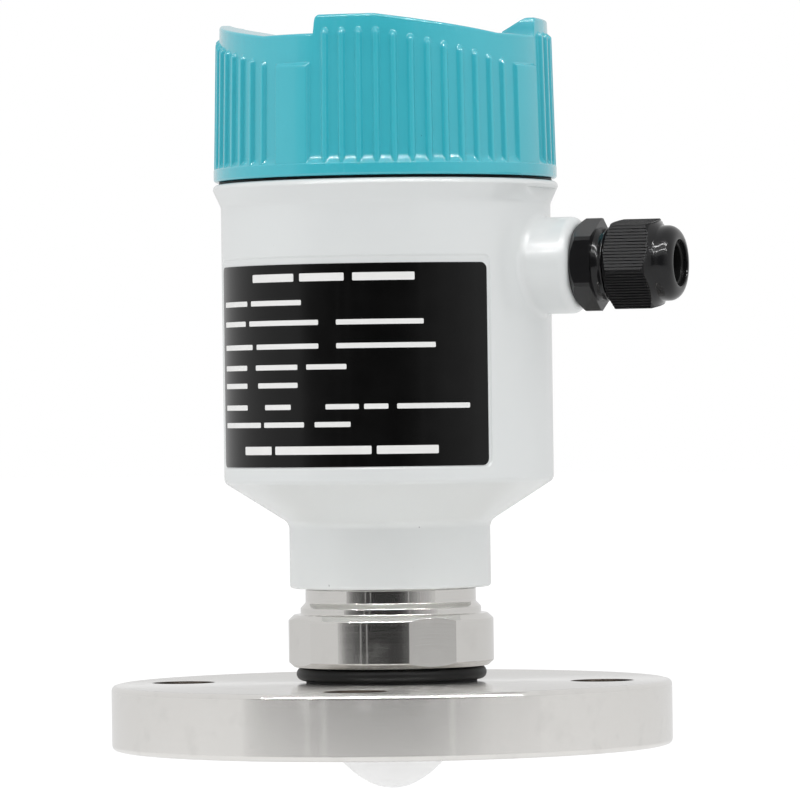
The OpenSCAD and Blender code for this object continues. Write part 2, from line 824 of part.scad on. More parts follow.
// The terminal block stands across the gland's axis, with its wire holes facing the gland
module terminal_block() {
    color("seagreen") difference() {
        translate([-terminal_w / 2, -terminal_l / 2, z_cup_top]) cube([terminal_w, terminal_l, terminal_h]);
        terminal_places() {
            translate([0, 0, terminal_h * 0.3]) rotate([0, 90, 0])
                cylinder(d = terminal_wire_d, h = terminal_w);
            translate([0, 0, terminal_h * 0.45]) cylinder(d = terminal_screw_d + 4 * fit_gap, h = terminal_h);
        }
    }
}

module terminal_screws() {
    color("silver") terminal_places() translate([0, 0, terminal_h * 0.45]) difference() {
        cylinder(d = terminal_screw_d, h = terminal_screw_h);
        translate([-terminal_screw_d, -terminal_screw_d / 10, terminal_screw_h * 0.65])
            cube([2 * terminal_screw_d, terminal_screw_d / 5, terminal_screw_h]);
    }
}

// ---------------------------------------------------------------- cable gland

module gland_washer() {
    color("dimgray") along_gland() ring(gland_w - 0.8, gland_thread_d, boss_reach, x_hex);
}

// A hexagon with trimmed corners, beveled towards the housing
module body_hexagon() {
    intersection() {
        rotate([0, 0, gland_body_turn]) hexagon(gland_w, x_hex, x_neck);
        rotate([0, 0, gland_body_turn + 30]) hexagon(gland_corner_w, x_hex, x_neck);
        turned([
            [0, x_hex],
            [gland_w / 2, x_hex],
            [gland_corner_w / 2 + 0.5, x_hex + gland_hex_bevel_l],
            [gland_corner_w / 2 + 0.5, x_neck],
            [0, x_neck]
        ]);
    }
}

module gland_body() {
    color("#181818") along_gland() difference() {
        union() {
            body_hexagon();
            translate([0, 0, boss_reach - gland_thread_l])
                cylinder(d = gland_thread_d - 2 * face_gap, h = gland_thread_l + gland_washer_t + 1);
            translate([0, 0, x_neck - 1]) cylinder(d = gland_neck_d, h = gland_neck_l + 1);
            translate([0, 0, x_hex + 1]) cylinder(d = nut_thread_d, h = x_claw - x_hex - 1);
            translate([0, 0, x_claw - 1]) cylinder(d = claw_d, h = claw_l + 1);
        }
        translate([0, 0, boss_reach - gland_thread_l - 1]) cylinder(d = body_bore_d, h = x_claw);
        translate([0, 0, x_insert - face_gap]) cylinder(d = claw_bore_d, h = x_claw);
        for (i = [0:claw_count - 1]) rotate([0, 0, i * 360 / claw_count])
            translate([claw_bore_d / 4, -claw_slot_w / 2, x_claw]) cube([claw_d, claw_slot_w, claw_l + 1]);
    }
}

module gland_insert() {
    color("#3a3a3a") along_gland() ring(insert_d, cable_d, x_insert, x_insert_end);
}

// The nut's inside narrows in a cone, which presses the claws on the insert as the nut goes on
module gland_nut() {
    r_corner = gland_w / 2 / cos(30);
    r_thread = nut_thread_d / 2 + move_gap;
    r_mouth = nut_mouth_d / 2;
    dome_foot_h = 1;
    x_cone = x_nut_dome - 3;
    x_lip = x_nut_end - nut_lip;
    color("#181818") along_gland() difference() {
        intersection() {
            rotate([0, 0, gland_nut_turn]) hexagon(gland_w, x_nut, x_nut_end + 1);
            turned([
                [0, x_nut],
                [gland_w / 2 - nut_bevel_t, x_nut],
                [r_corner + fit_gap, x_nut_hex],
                [r_corner + fit_gap, x_nut_dome - nut_end_bevel_l],
                [gland_w / 2, x_nut_dome],
                [nut_dome_d / 2, x_nut_dome + dome_foot_h, 0.8],
                [nut_dome_d / 2, x_nut_end, nut_dome_round],
                [0, x_nut_end]
            ]);
        }
        translate([0, 0, x_nut - 1]) cylinder(r = r_thread, h = x_cone - x_nut + 1);
        translate([0, 0, x_cone - face_gap])
            cylinder(r1 = r_thread, r2 = insert_d / 2 + move_gap, h = x_lip - x_cone + face_gap);
        translate([0, 0, x_lip - 1]) cylinder(r = r_mouth, h = nut_lip + 2);
    }
}

// ---------------------------------------------------------------- lid

module lid_seal() {
    outer = rim_d / 2 - 0.9;
    color("black") turned([
        [lid_bore_d / 2 - move_gap / 2, z_rim + face_gap],
        [outer, z_rim + face_gap, 0.35],
        [outer, z_lid - face_gap, 0.35],
        [lid_bore_d / 2 - move_gap / 2, z_lid - face_gap]
    ]);
}

// Radius of the lid's plain wall at a height above its skirt
function wall_r(z) = wall_foot_d / 2
    + (wall_top_d - wall_foot_d) / 2 * (z - z_lid - skirt_h) / (lid_h - skirt_h);

module lid() {
    color("#3ea6b4") difference() {
        union() {
            lid_shell();
            for (lobe = [0:lobes - 1]) at_angle(lobe_angle + lobe * lobe_step) {
                for (i = [0:ribs - 1]) at_angle(rib_first + i * rib_pitch) rib(rib_top(i));
                panel();
            }
        }
        for (lobe = [0:lobes - 1]) at_angle(lobe_angle + lobe * lobe_step) rim_cut();
    }
}

module lid_shell() {
    r_rim = wall_r(z_top);
    dish_z = z_top - dish_h;
    crown_z = dish_z - lid_top_t;
    turned([
        [0, dish_z],
        [r_rim - rim_w, dish_z, 2],
        [r_rim - rim_w + dish_slope_w, z_top - rim_slope_h, 2],
        [r_rim - rim_top_w, z_top, 0.8],
        [r_rim, z_top, 0.6],
        [wall_r(z_lid + skirt_h + skirt_slope_h), z_lid + skirt_h + skirt_slope_h],
        [skirt_d / 2, z_lid + skirt_h],
        [skirt_d / 2, z_lid, 0.8],
        [lid_spigot_d / 2, z_lid],
        [lid_spigot_d / 2, z_lid - lid_spigot_h],
        [lid_inner_d / 2, z_lid - lid_spigot_h],
        [lid_inner_d / 2, crown_z - crown_slope_h],
        [lid_inner_d / 2 - crown_slope_w, crown_z],
        [0, crown_z]
    ]);
}

// Height of a rib's top: the first ribs of a lobe are level, and then the tops fall in a line
function rib_top(i) = z_top - rib_top_depth - rib_fall * max(0, i + 1 - tall_ribs) / (ribs - tall_ribs);

// A rib leans with the wall, and has a round upper end
module rib(top) {
    foot = z_lid + skirt_h - 0.2;
    lean = atan((wall_foot_d - wall_top_d) / 2 / (lid_h - skirt_h));
    length = (top - foot) / cos(lean);
    r = rib_w / 2;
    translate([0, -wall_r(foot) - rib_t, foot]) rotate([90 - lean, 0, 0]) mirror([0, 0, 1])
        linear_extrude(rib_t + 1.5) polygon(concat(
            [[-r, 0], [r, 0]],
            [for (a = [0:30:180]) [r * cos(a), length - r + r * sin(a)]]
        ));
}

// The plain panel that ends a lobe's row of ribs
module panel() {
    foot = z_lid + skirt_h - 0.2;
    top = z_top - panel_depth;
    rotate([0, 0, panel_start - 90]) rotate_extrude(angle = panel_span) polygon([
        [wall_r(foot) - 1.5, foot],
        [wall_r(foot) + rib_t, foot],
        [wall_r(top) + rib_t, top - 0.9],
        [wall_r(top) + rib_t - 0.5, top - 0.15],
        [wall_r(top) - 1, top]
    ]);
}

// Each lobe's rim is level, then runs down a straight ramp to a lower level that ends in a step
module rim_cut() {
    ramp_span = low_start - plateau_span;
    middle = plateau_span + ramp_span / 2;
    r = wall_top_d / 2;
    slope = atan(rim_drop / (2 * r * sin(ramp_span / 2)));
    sector(low_start, lobe_step - low_start, z_top - rim_drop, z_top + 1);
    intersection() {
        sector(plateau_span, ramp_span + 0.02, z_top - rim_drop - 1, z_top + 1);
        at_angle(middle) translate([0, -r, z_top - rim_drop / 2]) rotate([0, slope, 0])
            translate([-r, -r, 0]) cube([2 * r, 2 * r, 2 * rim_drop]);
    }
}

// A wedge of the rim's ring, from one angle through a span
module sector(start, span, low, high) {
    inner = wall_top_d / 2 - rim_w - dish_h / 2;
    outer = skirt_d / 2 + 4;
    points = [for (r = [inner, outer]) for (a = [start, start + span]) r / cos(span / 2) * [sin(a), -cos(a)]];
    translate([0, 0, low]) linear_extrude(high - low) polygon([points[0], points[1], points[3], points[2]]);
}

flange();
seal_washer();
flange_seal();
process_fitting();
lens();
lens_seal();
lens_ring();
feed_horn();
rf_board();
board_screws();
rf_shield();
signal_lead();
lead_plug();
neck_seal();
swivel_ring();
housing();
nameplate();
lock_screw();
electronics_module();
module_screws();
terminal_block();
terminal_screws();
gland_washer();
gland_body();
gland_insert();
gland_nut();
lid_seal();
lid();
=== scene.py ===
# %% [markdown]
# # A radar level transmitter
# The instrument bolts to a tank's nozzle and measures the level below it with a radar beam.
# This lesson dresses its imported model: the frame gives every piece its place, and each cell
# below makes one visible piece or one finish. The frame comes first, and nothing in it moves.

# %% Load the frame
import json
from math import atan2, cos, degrees, hypot, pi, radians, sin, sqrt, tan

import bmesh
import bpy
from mathutils import Matrix, Vector


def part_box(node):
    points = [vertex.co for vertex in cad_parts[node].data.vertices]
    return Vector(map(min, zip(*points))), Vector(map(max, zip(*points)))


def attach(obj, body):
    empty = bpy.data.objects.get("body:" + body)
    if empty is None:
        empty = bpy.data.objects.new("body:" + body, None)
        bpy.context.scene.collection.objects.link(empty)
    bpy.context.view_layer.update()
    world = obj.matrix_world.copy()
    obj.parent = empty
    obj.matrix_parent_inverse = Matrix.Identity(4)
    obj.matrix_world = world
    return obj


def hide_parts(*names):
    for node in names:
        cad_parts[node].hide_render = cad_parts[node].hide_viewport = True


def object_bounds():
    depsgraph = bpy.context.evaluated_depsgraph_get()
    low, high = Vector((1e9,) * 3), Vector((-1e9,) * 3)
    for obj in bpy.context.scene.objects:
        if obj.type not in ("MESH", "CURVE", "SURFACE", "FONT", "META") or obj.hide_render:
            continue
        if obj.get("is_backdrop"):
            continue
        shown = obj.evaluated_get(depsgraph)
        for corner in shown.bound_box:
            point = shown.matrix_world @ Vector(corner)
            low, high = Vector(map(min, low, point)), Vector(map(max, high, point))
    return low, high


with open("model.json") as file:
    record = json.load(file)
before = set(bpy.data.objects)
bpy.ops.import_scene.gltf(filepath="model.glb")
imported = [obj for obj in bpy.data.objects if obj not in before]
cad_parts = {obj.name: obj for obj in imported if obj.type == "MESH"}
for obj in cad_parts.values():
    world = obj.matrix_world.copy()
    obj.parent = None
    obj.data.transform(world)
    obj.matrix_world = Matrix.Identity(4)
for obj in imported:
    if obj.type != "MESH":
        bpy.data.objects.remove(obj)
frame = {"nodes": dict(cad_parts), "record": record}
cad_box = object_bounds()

mm = 0.001

# %% [markdown]
# ## Where things are
# Many places below come from the frame's own boxes, so those pieces fit the solids without
# any fitting. The boxes are turned into millimetres, because that is how a maker reads them.

# %% Measure the frame


def measure(node):
    """The lowest and highest corner of a node at rest, in millimetres."""
    low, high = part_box(node)
    return Vector(low) / mm, Vector(high) / mm


flange_high = measure("flange")[1]
fitting_low, fitting_high = measure("process_fitting")
housing_low, housing_high = measure("housing")
plate_low, plate_high = measure("nameplate")
lid_low, lid_high = measure("lid")
insert_low, insert_high = measure("gland_insert")
nut_low, nut_high = measure("gland_nut")
boss_z = (insert_low.z + insert_high.z) / 2
print("flange", round(2 * flange_high.x, 1), "mm across, gland's axis at", round(boss_z, 1), "mm")

# %% [markdown]
# ## The camera
# A long lens from far away keeps the instrument's sides nearly parallel. A short lens close
# by would spread the flange and shrink the lid. The camera stands a little to the gland's
# side of the nameplate. It is turned by three rotations, one after the other, so that each
# small angle can be read and changed by itself.

# %% Set the camera
scene = bpy.context.scene
scene.view_settings.view_transform = "Standard"

camera_angle = radians(20.5)
camera_reach = 1.789
camera_height = 0.099
camera_side_shift = 0.0035
camera_up_tilt = radians(0.09)
camera_roll = radians(-0.75)

camera_data = bpy.data.cameras.new("camera")
camera_data.lens = 273.4
camera_data.sensor_width = 36
camera_data.clip_end = 50
camera = bpy.data.objects.new("camera", camera_data)
scene.collection.objects.link(camera)
scene.camera = camera
to_camera = Vector((sin(camera_angle), -cos(camera_angle), 0))
to_right = Vector((cos(camera_angle), sin(camera_angle), 0))
camera.location = (
    to_camera * camera_reach + to_right * camera_side_shift + Vector((0, 0, camera_height)))
camera.rotation_euler = (
    Matrix.Rotation(camera_angle, 4, "Z")
    @ Matrix.Rotation(pi / 2 + camera_up_tilt, 4, "X")
    @ Matrix.Rotation(camera_roll, 4, "Z")
).to_euler()
print("camera at", [round(c, 3) for c in camera.location])

# %% [markdown]
# ## Shader arithmetic
# Nodes could be placed and linked one by one, but a formula is hard to see in that. A shader
# is written here as arithmetic: `Wire` wraps a node's output and adds a Math node for each
# operator, and `Shader.add` makes any other node from its type, settings and inputs.

# %% Wires and shaders


class Wire:
    """A node's output that can be used in Python arithmetic."""

    def __init__(self, shader, socket):
        self.shader = shader
        self.socket = socket

    def math(self, operation, first, second):
        return self.shader.math(operation, first, second)

    def __add__(self, other):
        return self.math("ADD", self, other)

    __radd__ = __add__

    def __sub__(self, other):
        return self.math("SUBTRACT", self, other)

    def __rsub__(self, other):
        return self.math("SUBTRACT", other, self)

    def __mul__(self, other):
        return self.math("MULTIPLY", self, other)

    __rmul__ = __mul__

    def __pow__(self, other):
        return self.math("POWER", self, other)

    def __lt__(self, other):
        return self.math("LESS_THAN", self, other)


class Shader:
    """A node tree under construction, of a material or of the world."""

    def __init__(self, tree):
        self.tree = tree
        tree.nodes.clear()

    def add(self, kind, settings=(), inputs=(), output=0):
        node = self.tree.nodes.new(kind)
        for name, value in dict(settings).items():
            setattr(node, name, value)
        for key, value in dict(inputs).items():
            if isinstance(value, Wire):
                self.tree.links.new(value.socket, node.inputs[key])
            else:
                node.inputs[key].default_value = value
        return Wire(self, node.outputs[output] if node.outputs else None)

    def math(self, operation, first, second=0.0):
        return self.add("ShaderNodeMath", {"operation": operation}, {0: first, 1: second})
def colour(red, green, blue):
    return (red, green, blue, 1)


pure_white = colour(1, 1, 1)
print("pure white is", pure_white)

# %% [markdown]
# ## Light
# The instrument stands in a white tent. The world is that tent: pure white to the camera, and
# a little darker to the surfaces, so that white paint doesn't burn out. A lamp on each side
# and one overhead add the soft shading that shows the round forms. Reflections leave the
# lamps out, because a bright rectangle in the paint would be the first thing seen.

# %% Hang the white tent
world_light = 0.80
wall_light = 0.76
world = bpy.data.worlds.new("white_tent")
scene.world = world
world.use_nodes = True
tent = Shader(world.node_tree)
is_camera = tent.add("ShaderNodeLightPath", output="Is Camera Ray")
is_glossy = tent.add("ShaderNodeLightPath", output="Is Glossy Ray")
is_clear = tent.add("ShaderNodeLightPath", output="Is Transmission Ray")
seen = is_camera + is_clear
strength = world_light + seen * (1 - world_light) + is_glossy * (wall_light - world_light)
backdrop = tent.add("ShaderNodeBackground", inputs={"Color": pure_white, "Strength": strength})
tent.add("ShaderNodeOutputWorld", inputs={"Surface": backdrop})
print("tent:", world_light, "to surfaces,", wall_light, "to reflections and 1 to the camera")

# %% Hang the soft lamps
aim_height = 0.1


def soft_lamp(name, angle, height, reach, width, tall, power):
    """A soft rectangular lamp; angle is counted from the camera's direction, in degrees."""
    lamp = bpy.data.lights.new(name, "AREA")
    lamp.shape = "RECTANGLE"
    lamp.size = width
    lamp.size_y = tall
    lamp.energy = power
    obj = bpy.data.objects.new(name, lamp)
    scene.collection.objects.link(obj)
    around = camera_angle + radians(angle)
    place = Vector((sin(around) * reach, -cos(around) * reach, height))
    obj.location = place
    obj.rotation_euler = (Vector((0, 0, aim_height)) - place).to_track_quat("-Z", "Y").to_euler()
    obj.visible_glossy = False
    print(name + ":", power, "W at", round(place.length, 2), "m")


soft_lamp("left_lamp", angle=-95, height=0.35, reach=1.4, width=1.1, tall=1.5, power=2.8)
soft_lamp("right_lamp", angle=95, height=0.35, reach=1.4, width=1.1, tall=1.5, power=1.55)
soft_lamp("top_lamp", angle=5, height=1.4, reach=0.6, width=1.2, tall=0.9, power=6.9)

# %% [markdown]
# ## The floor
# The floor is white paper. Paper alone would need so much light to look white that the
# instrument would burn out, so the paper glows a little, and most of that only to the camera.
# The shadow under the flange still falls on it.

# %% Stand the floor
floor_white = 0.82
floor_glow = 0.08
floor_glow_to_camera = 0.34
floor_size = 40
floor_drop = 140 * mm


def new_material(name):
    """An empty material, and the shader that fills it."""
    material = bpy.data.materials.new(name)
    material.use_nodes = True
    return material, Shader(material.node_tree)


def new_object(name, bm, material):
    """Turns a mesh under construction into an object of the scene with one material."""
    mesh = bpy.data.meshes.new(name)
    bm.to_mesh(mesh)
    bm.free()
    mesh.materials.append(material)
    obj = bpy.data.objects.new(name, mesh)
    scene.collection.objects.link(obj)
    return obj


def sheet(bm, width, tall):
    """One flat face round the origin, with its sizes in metres; returns its corners."""
    corners = bmesh.ops.create_grid(bm, x_segments=1, y_segments=1, size=0.5)["verts"]
    bmesh.ops.scale(bm, vec=(width, tall, 1), verts=corners)
    return corners


def flat_card(name, width, tall, matrix, material):
    bm = bmesh.new()
    sheet(bm, width, tall)
    bm.transform(matrix)
    obj = new_object(name, bm, material)
    obj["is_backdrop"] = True
    return obj


def floor_paper():
    """White paper that renders as white to the camera, and still takes the object's shadow."""
    material, paper = new_material("floor_paper")
    matte = paper.add("ShaderNodeBsdfDiffuse", inputs={
        "Color": colour(floor_white, floor_white, floor_white)})
    camera_ray = paper.add("ShaderNodeLightPath", output="Is Camera Ray")
    glow = paper.add("ShaderNodeEmission", inputs={
        "Color": pure_white, "Strength": floor_glow + camera_ray * floor_glow_to_camera})
    both = paper.add("ShaderNodeAddShader", inputs={0: matte, 1: glow})
    paper.add("ShaderNodeOutputMaterial", inputs={"Surface": both})
    return material


floor_z = cad_box[0][2] - floor_drop
flat_card("floor", floor_size, floor_size, Matrix.Translation((0, 0, floor_z)), floor_paper())
print("floor", round(-floor_z / mm), "mm below the flange's sealing face")

# %% [markdown]
# ## The dark card
# The tent is open behind the camera, and polished steel shows that mouth as a dark band
# between bright sides. Without it steel looks like grey plastic. A card that only reflections
# see stands in for the mouth. It is dark in the middle, gets lighter to both sides where the
# tent's walls begin, and has three bright gaps, which draw the thin lines on the fitting.

# %% The tent's mouth
card_reach = 2.0
mouth_dark = 0.035
# Each stretch of wall: the angles at which it starts and is full, and the light that it adds.
TENT_WALLS = [(-24, -50, 0.12), (-48, -64, 0.44), (5, 45, 0.45), (45, 60, 0.15)]
TENT_GAPS = [-34, -27, 24]
gap_half_angle = 0.9
gap_light = 0.45
folds_per_metre = 9.0


def along_card(angle):
    """Where a direction, in degrees from the camera's, crosses the card."""
    return card_reach * tan(radians(angle))


def tent_mouth():
    """The card's glow: dark in the middle, the tent's walls at both sides, and soft folds."""
    material, card = new_material("tent_mouth")
    place = card.add("ShaderNodeTexCoord", output="Object")
    turned = card.add("ShaderNodeVectorRotate", {"rotation_type": "Z_AXIS"}, {
        "Vector": place, "Angle": -camera_angle})
    across = card.add("ShaderNodeSeparateXYZ", inputs={0: turned})

    def side(start, end):
        return card.add("ShaderNodeMapRange", {"interpolation_type": "SMOOTHSTEP"}, {
            "Value": across, "From Min": along_card(start), "From Max": along_card(end)})

    def gap(middle):
        return side(middle - gap_half_angle, middle) * side(middle + gap_half_angle, middle)

    level = mouth_dark
    for start, end, light in TENT_WALLS:
        level = level + side(start, end) * light
    level = level + sum(gap(middle) for middle in TENT_GAPS) * gap_light
    folds = card.add("ShaderNodeTexNoise", {"noise_dimensions": "1D"}, {
        "W": across * folds_per_metre, "Scale": 1.0, "Detail": 3.0})
    level = level * (0.7 + folds * 0.6)
    glow = card.add("ShaderNodeEmission", inputs={"Color": pure_white, "Strength": level})
    card.add("ShaderNodeOutputMaterial", inputs={"Surface": glow})
    return material


print("the mouth's dark part is", round(along_card(5) - along_card(-24), 2), "m wide on the card")

# %% Stand the dark card
card_tall = 1.7
card_height = 0.12
card_half_angle = 62


def only_in_reflections(obj):
    """Hides an object from the camera, from soft light and from shadows."""
    obj.visible_camera = False
    obj.visible_diffuse = False
    obj.visible_shadow = False


card_width = along_card(card_half_angle) - along_card(-card_half_angle)
dark_card = flat_card(
    "dark_card", card_width, card_tall,
    Matrix.Translation(to_camera * card_reach + Vector((0, 0, card_height)))
    @ Matrix.Rotation(camera_angle, 4, "Z") @ Matrix.Rotation(pi / 2, 4, "X"),
    tent_mouth(),
)
only_in_reflections(dark_card)
print("dark card", round(card_width, 2), "m wide behind the camera")

# %% [markdown]
# ## The light bars
# Two bars of small lights hang in front of the instrument and high over it. They are too
# small to shade its forms, but each light is a sharp dot in glossy nylon, and a row of them
# leaves the beaded glints on the gland and on the lid's ribs. Dots could be painted on, but
# then they would stay put when the view turns. So the lights are real squares that only
# reflections see.

# %% Hang the light bars
led_count = 91
led_size = 0.02
led_spread = radians(57)
led_strength = 160.0
LED_BARS = [(1.15, 40), (0.72, 57)]    # each bar's distance in metres and its rise in degrees


def led_bar(bm, reach, rise):
    """One row of small square lights; rise is its angle above the level, in degrees."""
    half = reach * tan(led_spread)
    towards_object = Matrix.Rotation(radians(90 - rise), 3, "X")
    for i in range(led_count):
        made = sheet(bm, led_size, led_size)
        bmesh.ops.rotate(bm, cent=(0, 0, 0), matrix=towards_object, verts=made)
        across = half * (2 * i / (led_count - 1) - 1)
        bmesh.ops.translate(bm, vec=(across, -reach, reach * tan(radians(rise))), verts=made)


def led_light():
    material, led = new_material("led_light")
    glow = led.add("ShaderNodeEmission", inputs={"Color": pure_white, "Strength": led_strength})
    led.add("ShaderNodeOutputMaterial", inputs={"Surface": glow})
    return material


bm = bmesh.new()
for reach, rise in LED_BARS:
    led_bar(bm, reach, rise)
bm.transform(Matrix.Translation((0, 0, aim_height)) @ Matrix.Rotation(camera_angle, 4, "Z"))
light_bars = new_object("light_bars", bm, led_light())
light_bars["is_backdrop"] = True
only_in_reflections(light_bars)
print(len(light_bars.data.polygons), "small lights in", len(LED_BARS), "bars")

# %% [markdown]
# ## Finishes
# Each finish below is one function, named for what it covers. All of them read the object's
# own coordinates in millimetres, so a grain of 0.9 is 0.9 mm wide on any piece, and nothing
# has to be unwrapped. These small helpers are the parts that the finishes share.

# %% Shared surface parts


def surface(name):
    """A new material's shader, with the object's own coordinates in millimetres."""
    material, shader = new_material(name)
    place = shader.add("ShaderNodeTexCoord", output="Object")
    in_mm = shader.add("ShaderNodeVectorMath", {"operation": "SCALE"}, {0: place, "Scale": 1 / mm})
    return material, shader, in_mm


def noise(shader, place, size, detail=2.0):
    """Soft noise with lumps of a given size in millimetres, around 0.5."""
    return shader.add("ShaderNodeTexNoise", inputs={
        "Vector": place, "Scale": 1.0 / size, "Detail": detail})


def split(shader, place):
    """A vector's X, Y and Z as three wires."""
    parts = shader.add("ShaderNodeSeparateXYZ", inputs={0: place})
    node = parts.socket.node
    return [Wire(shader, node.outputs[i]) for i in range(3)]


def blend_colours(shader, mask, first, second):
    return shader.add("ShaderNodeMix", {"data_type": "RGBA"}, {
        "Factor": mask, 6: first, 7: second}, output=2)


def toned(base, factor, lift=0.0):
    """A colour made darker or lighter by a factor."""
    return tuple(min(1.0, factor * c + lift) for c in base[:3]) + (1,)


def bump(shader, height, strength, distance):
    return shader.add("ShaderNodeBump", inputs={
        "Height": height, "Strength": strength, "Distance": distance * mm})


def smooth_mask(shader, value, low, high):
    """0 below low, 1 above high, and smooth between."""
    return shader.add("ShaderNodeMapRange", {"interpolation_type": "SMOOTHSTEP"}, {
        "Value": value, "From Min": low, "From Max": high})


def finish_material(shader, settings):
    principled = shader.add("ShaderNodeBsdfPrincipled", inputs=settings)
    shader.add("ShaderNodeOutputMaterial", inputs={"Surface": principled})


print("a tone of 0.86 on mid grey:", toned(colour(0.5, 0.5, 0.5), 0.86))

# %% [markdown]
# ## Paint
# The housing and the lid are castings with baked powder paint. Such a coat is never quite
# flat: it has a fine orange peel, its colour and gloss change a little from place to place,
# and a few specks of dust are baked in. A flat colour would look like plastic, so soft clouds
# mix two near shades, a fine noise makes the peel, and the rare peaks of another the specks.

# %% Paint
paint_cloud = 14
peel_grain = 0.9
dust_grain = 0.8
dust_from, dust_full = 0.93, 0.95


def paint(name, base, shade, gloss, peel, coat):
    """Powder paint: two near colours in soft clouds, specks, orange peel and a clear skin."""
    material, shader, place = surface(name)
    clouds = noise(shader, place, paint_cloud)
    grains = noise(shader, place, peel_grain, detail=1.0)
    dust = noise(shader, place, dust_grain, detail=0.0)
    speck = smooth_mask(shader, dust, dust_from, dust_full)
    tone = blend_colours(shader, clouds, base, shade)
    finish_material(shader, {
        "Base Color": blend_colours(shader, speck, tone, toned(base, 0.35)),
        "Roughness": gloss + clouds * 0.06,
        "Coat Weight": coat,
        "Coat Roughness": 0.07,
        "Normal": bump(shader, grains, 0.22, peel),
    })
    return material


teal_paint = paint(
    "teal_paint", colour(0.035, 0.445, 0.540), colour(0.043, 0.470, 0.565),
    gloss=0.20, peel=0.05, coat=0.8)
white_paint = paint(
    "white_paint", colour(0.718, 0.740, 0.741), colour(0.736, 0.756, 0.754),
    gloss=0.26, peel=0.04, coat=0.4)
print("two paints, with specks where the dust's noise is over", dust_from)

# %% [markdown]
# ## Turned steel
# The flange and the fitting are stainless steel from a lathe. The tool leaves rings, which
# drag every highlight across them: that is the anisotropic part. The flange is coarser than
# the polished fitting, with faint stains, a thin dull film that takes away some of the metal,
# rough walls in its drilled holes, coloured dark brown as painted shade with some grime in it,
# and a bevel that was polished bright. The rings could be modelled, but thousands of them
# are far finer than any mesh, so noise along one line stands in for them: it runs outwards
# on faces and upwards on walls.

# %% Masks for the flange
flange_r = flange_high.x
flange_bevel = 1.5
bolt_circle_r = 62.5
bolt_hole_r = 9.0
first_hole = 11


def drilled(shader, x, y):
    """1 inside the flange's bolt holes, and a little past their rims, and 0 elsewhere."""
    hole_turn = radians(first_hole)
    along = shader.math("ABSOLUTE", x * sin(hole_turn) - y * cos(hole_turn))
    aside = shader.math("ABSOLUTE", x * cos(hole_turn) + y * sin(hole_turn))
    near = shader.math("MINIMUM", along, aside)
    far = shader.math("MAXIMUM", along, aside) - bolt_circle_r
    return (near * near + far * far) ** 0.5 < bolt_hole_r + 0.3


def bright_bevel(shader, reach, z):
    """1 on the flange's outer bevels, where radius plus height over the middle is largest."""
    middle = flange_high.z / 2
    bevel_sum = flange_r + middle - flange_bevel
    return smooth_mask(
        shader, reach + shader.math("ABSOLUTE", z - middle), bevel_sum - 0.2, bevel_sum + 0.5)


print("bolt holes", 2 * bolt_hole_r, "mm wide on a circle of", 2 * bolt_circle_r, "mm")

# %% Turned steel
ring_climb = 1.37
bands_per_mm = 0.9
stain_size = 9
# Painted shade with some grime: the walls of the bolt holes are coloured this dark brown.
hole_shade_and_grime = colour(0.11, 0.09, 0.075)


def turned_steel(name, base, gloss, ring_size, ring_depth, ring_spread, stain,
                 drag=0.0, holes=False, metal=1.0):
    """Metal off the lathe: rings round the axis, on faces and on walls alike."""
    material, shader, place = surface(name)
    x, y, z = split(shader, place)
    reach = (x * x + y * y) ** 0.5
    feed = reach + z * ring_climb

    def lines(per_mm, detail):
        return shader.add("ShaderNodeTexNoise", {"noise_dimensions": "1D"}, {
            "W": feed * per_mm, "Scale": 1.0, "Detail": detail})

    rings = lines(1.0 / ring_size, 3.0)
    bands = lines(bands_per_mm, 1.0)
    clouds = noise(shader, place, stain_size, detail=3.0)
    dull = smooth_mask(shader, clouds, 0.52, 0.75)
    tone = blend_colours(shader, dull * stain, base, toned(base, 0.86))
    rough = gloss + rings * ring_spread + bands * (0.5 * ring_spread) + dull * (0.12 * stain)
    if holes:
        # Painted shade, with some grime: the holes' walls take the dark brown, and they are rougher
        # too.
        inside = drilled(shader, x, y)
        tone = blend_colours(shader, inside, tone, hole_shade_and_grime)
        rough = (rough + inside * 0.4) * (1 - bright_bevel(shader, reach, z) * 0.75)
    finish_material(shader, {
        "Base Color": tone,
        "Metallic": metal,
        "Roughness": rough,
        "Anisotropic": drag,
        "Anisotropic Rotation": 0.25,
        "Normal": bump(shader, rings, 0.35, ring_depth),
    })
    return material


polished_steel = turned_steel(
    "polished_steel", colour(0.74, 0.725, 0.70), gloss=0.04,
    ring_size=0.22, ring_depth=0.004, ring_spread=0.05, stain=0.3, drag=0.6)
flange_steel = turned_steel(
    "flange_steel", colour(0.80, 0.785, 0.76), gloss=0.11,
    ring_size=0.30, ring_depth=0.014, ring_spread=0.05, stain=0.45, drag=1.0, holes=True, metal=0.85)
screw_steel = turned_steel(
    "screw_steel", colour(0.55, 0.55, 0.56), gloss=0.3,
    ring_size=0.3, ring_depth=0.01, ring_spread=0.1, stain=0.5)
horn_aluminium = turned_steel(
    "horn_aluminium", colour(0.75, 0.75, 0.76), gloss=0.28,
    ring_size=0.3, ring_depth=0.012, ring_spread=0.1, stain=0.2)
print("four turned metals, with rings from 0.22 to 0.3 mm apart")

# %% [markdown]
# ## Plastics and rubber
# Seals, gland, lens, boards and nameplate are moulded. All of them have a fine grain and a
# colour that is nearly even, and they differ in gloss. `shine` is how much light the bare
# skin reflects, and `coat` adds the smooth film of a polished mould. The gland's nut is such
# a moulding, but its ribs are worn matte by hands and spanners, so `grip` takes the film off
# between two places along the gland.

# %% Plastics and rubber
grip_from, grip_to = nut_low.x + 0.5, nut_low.x + 13.5


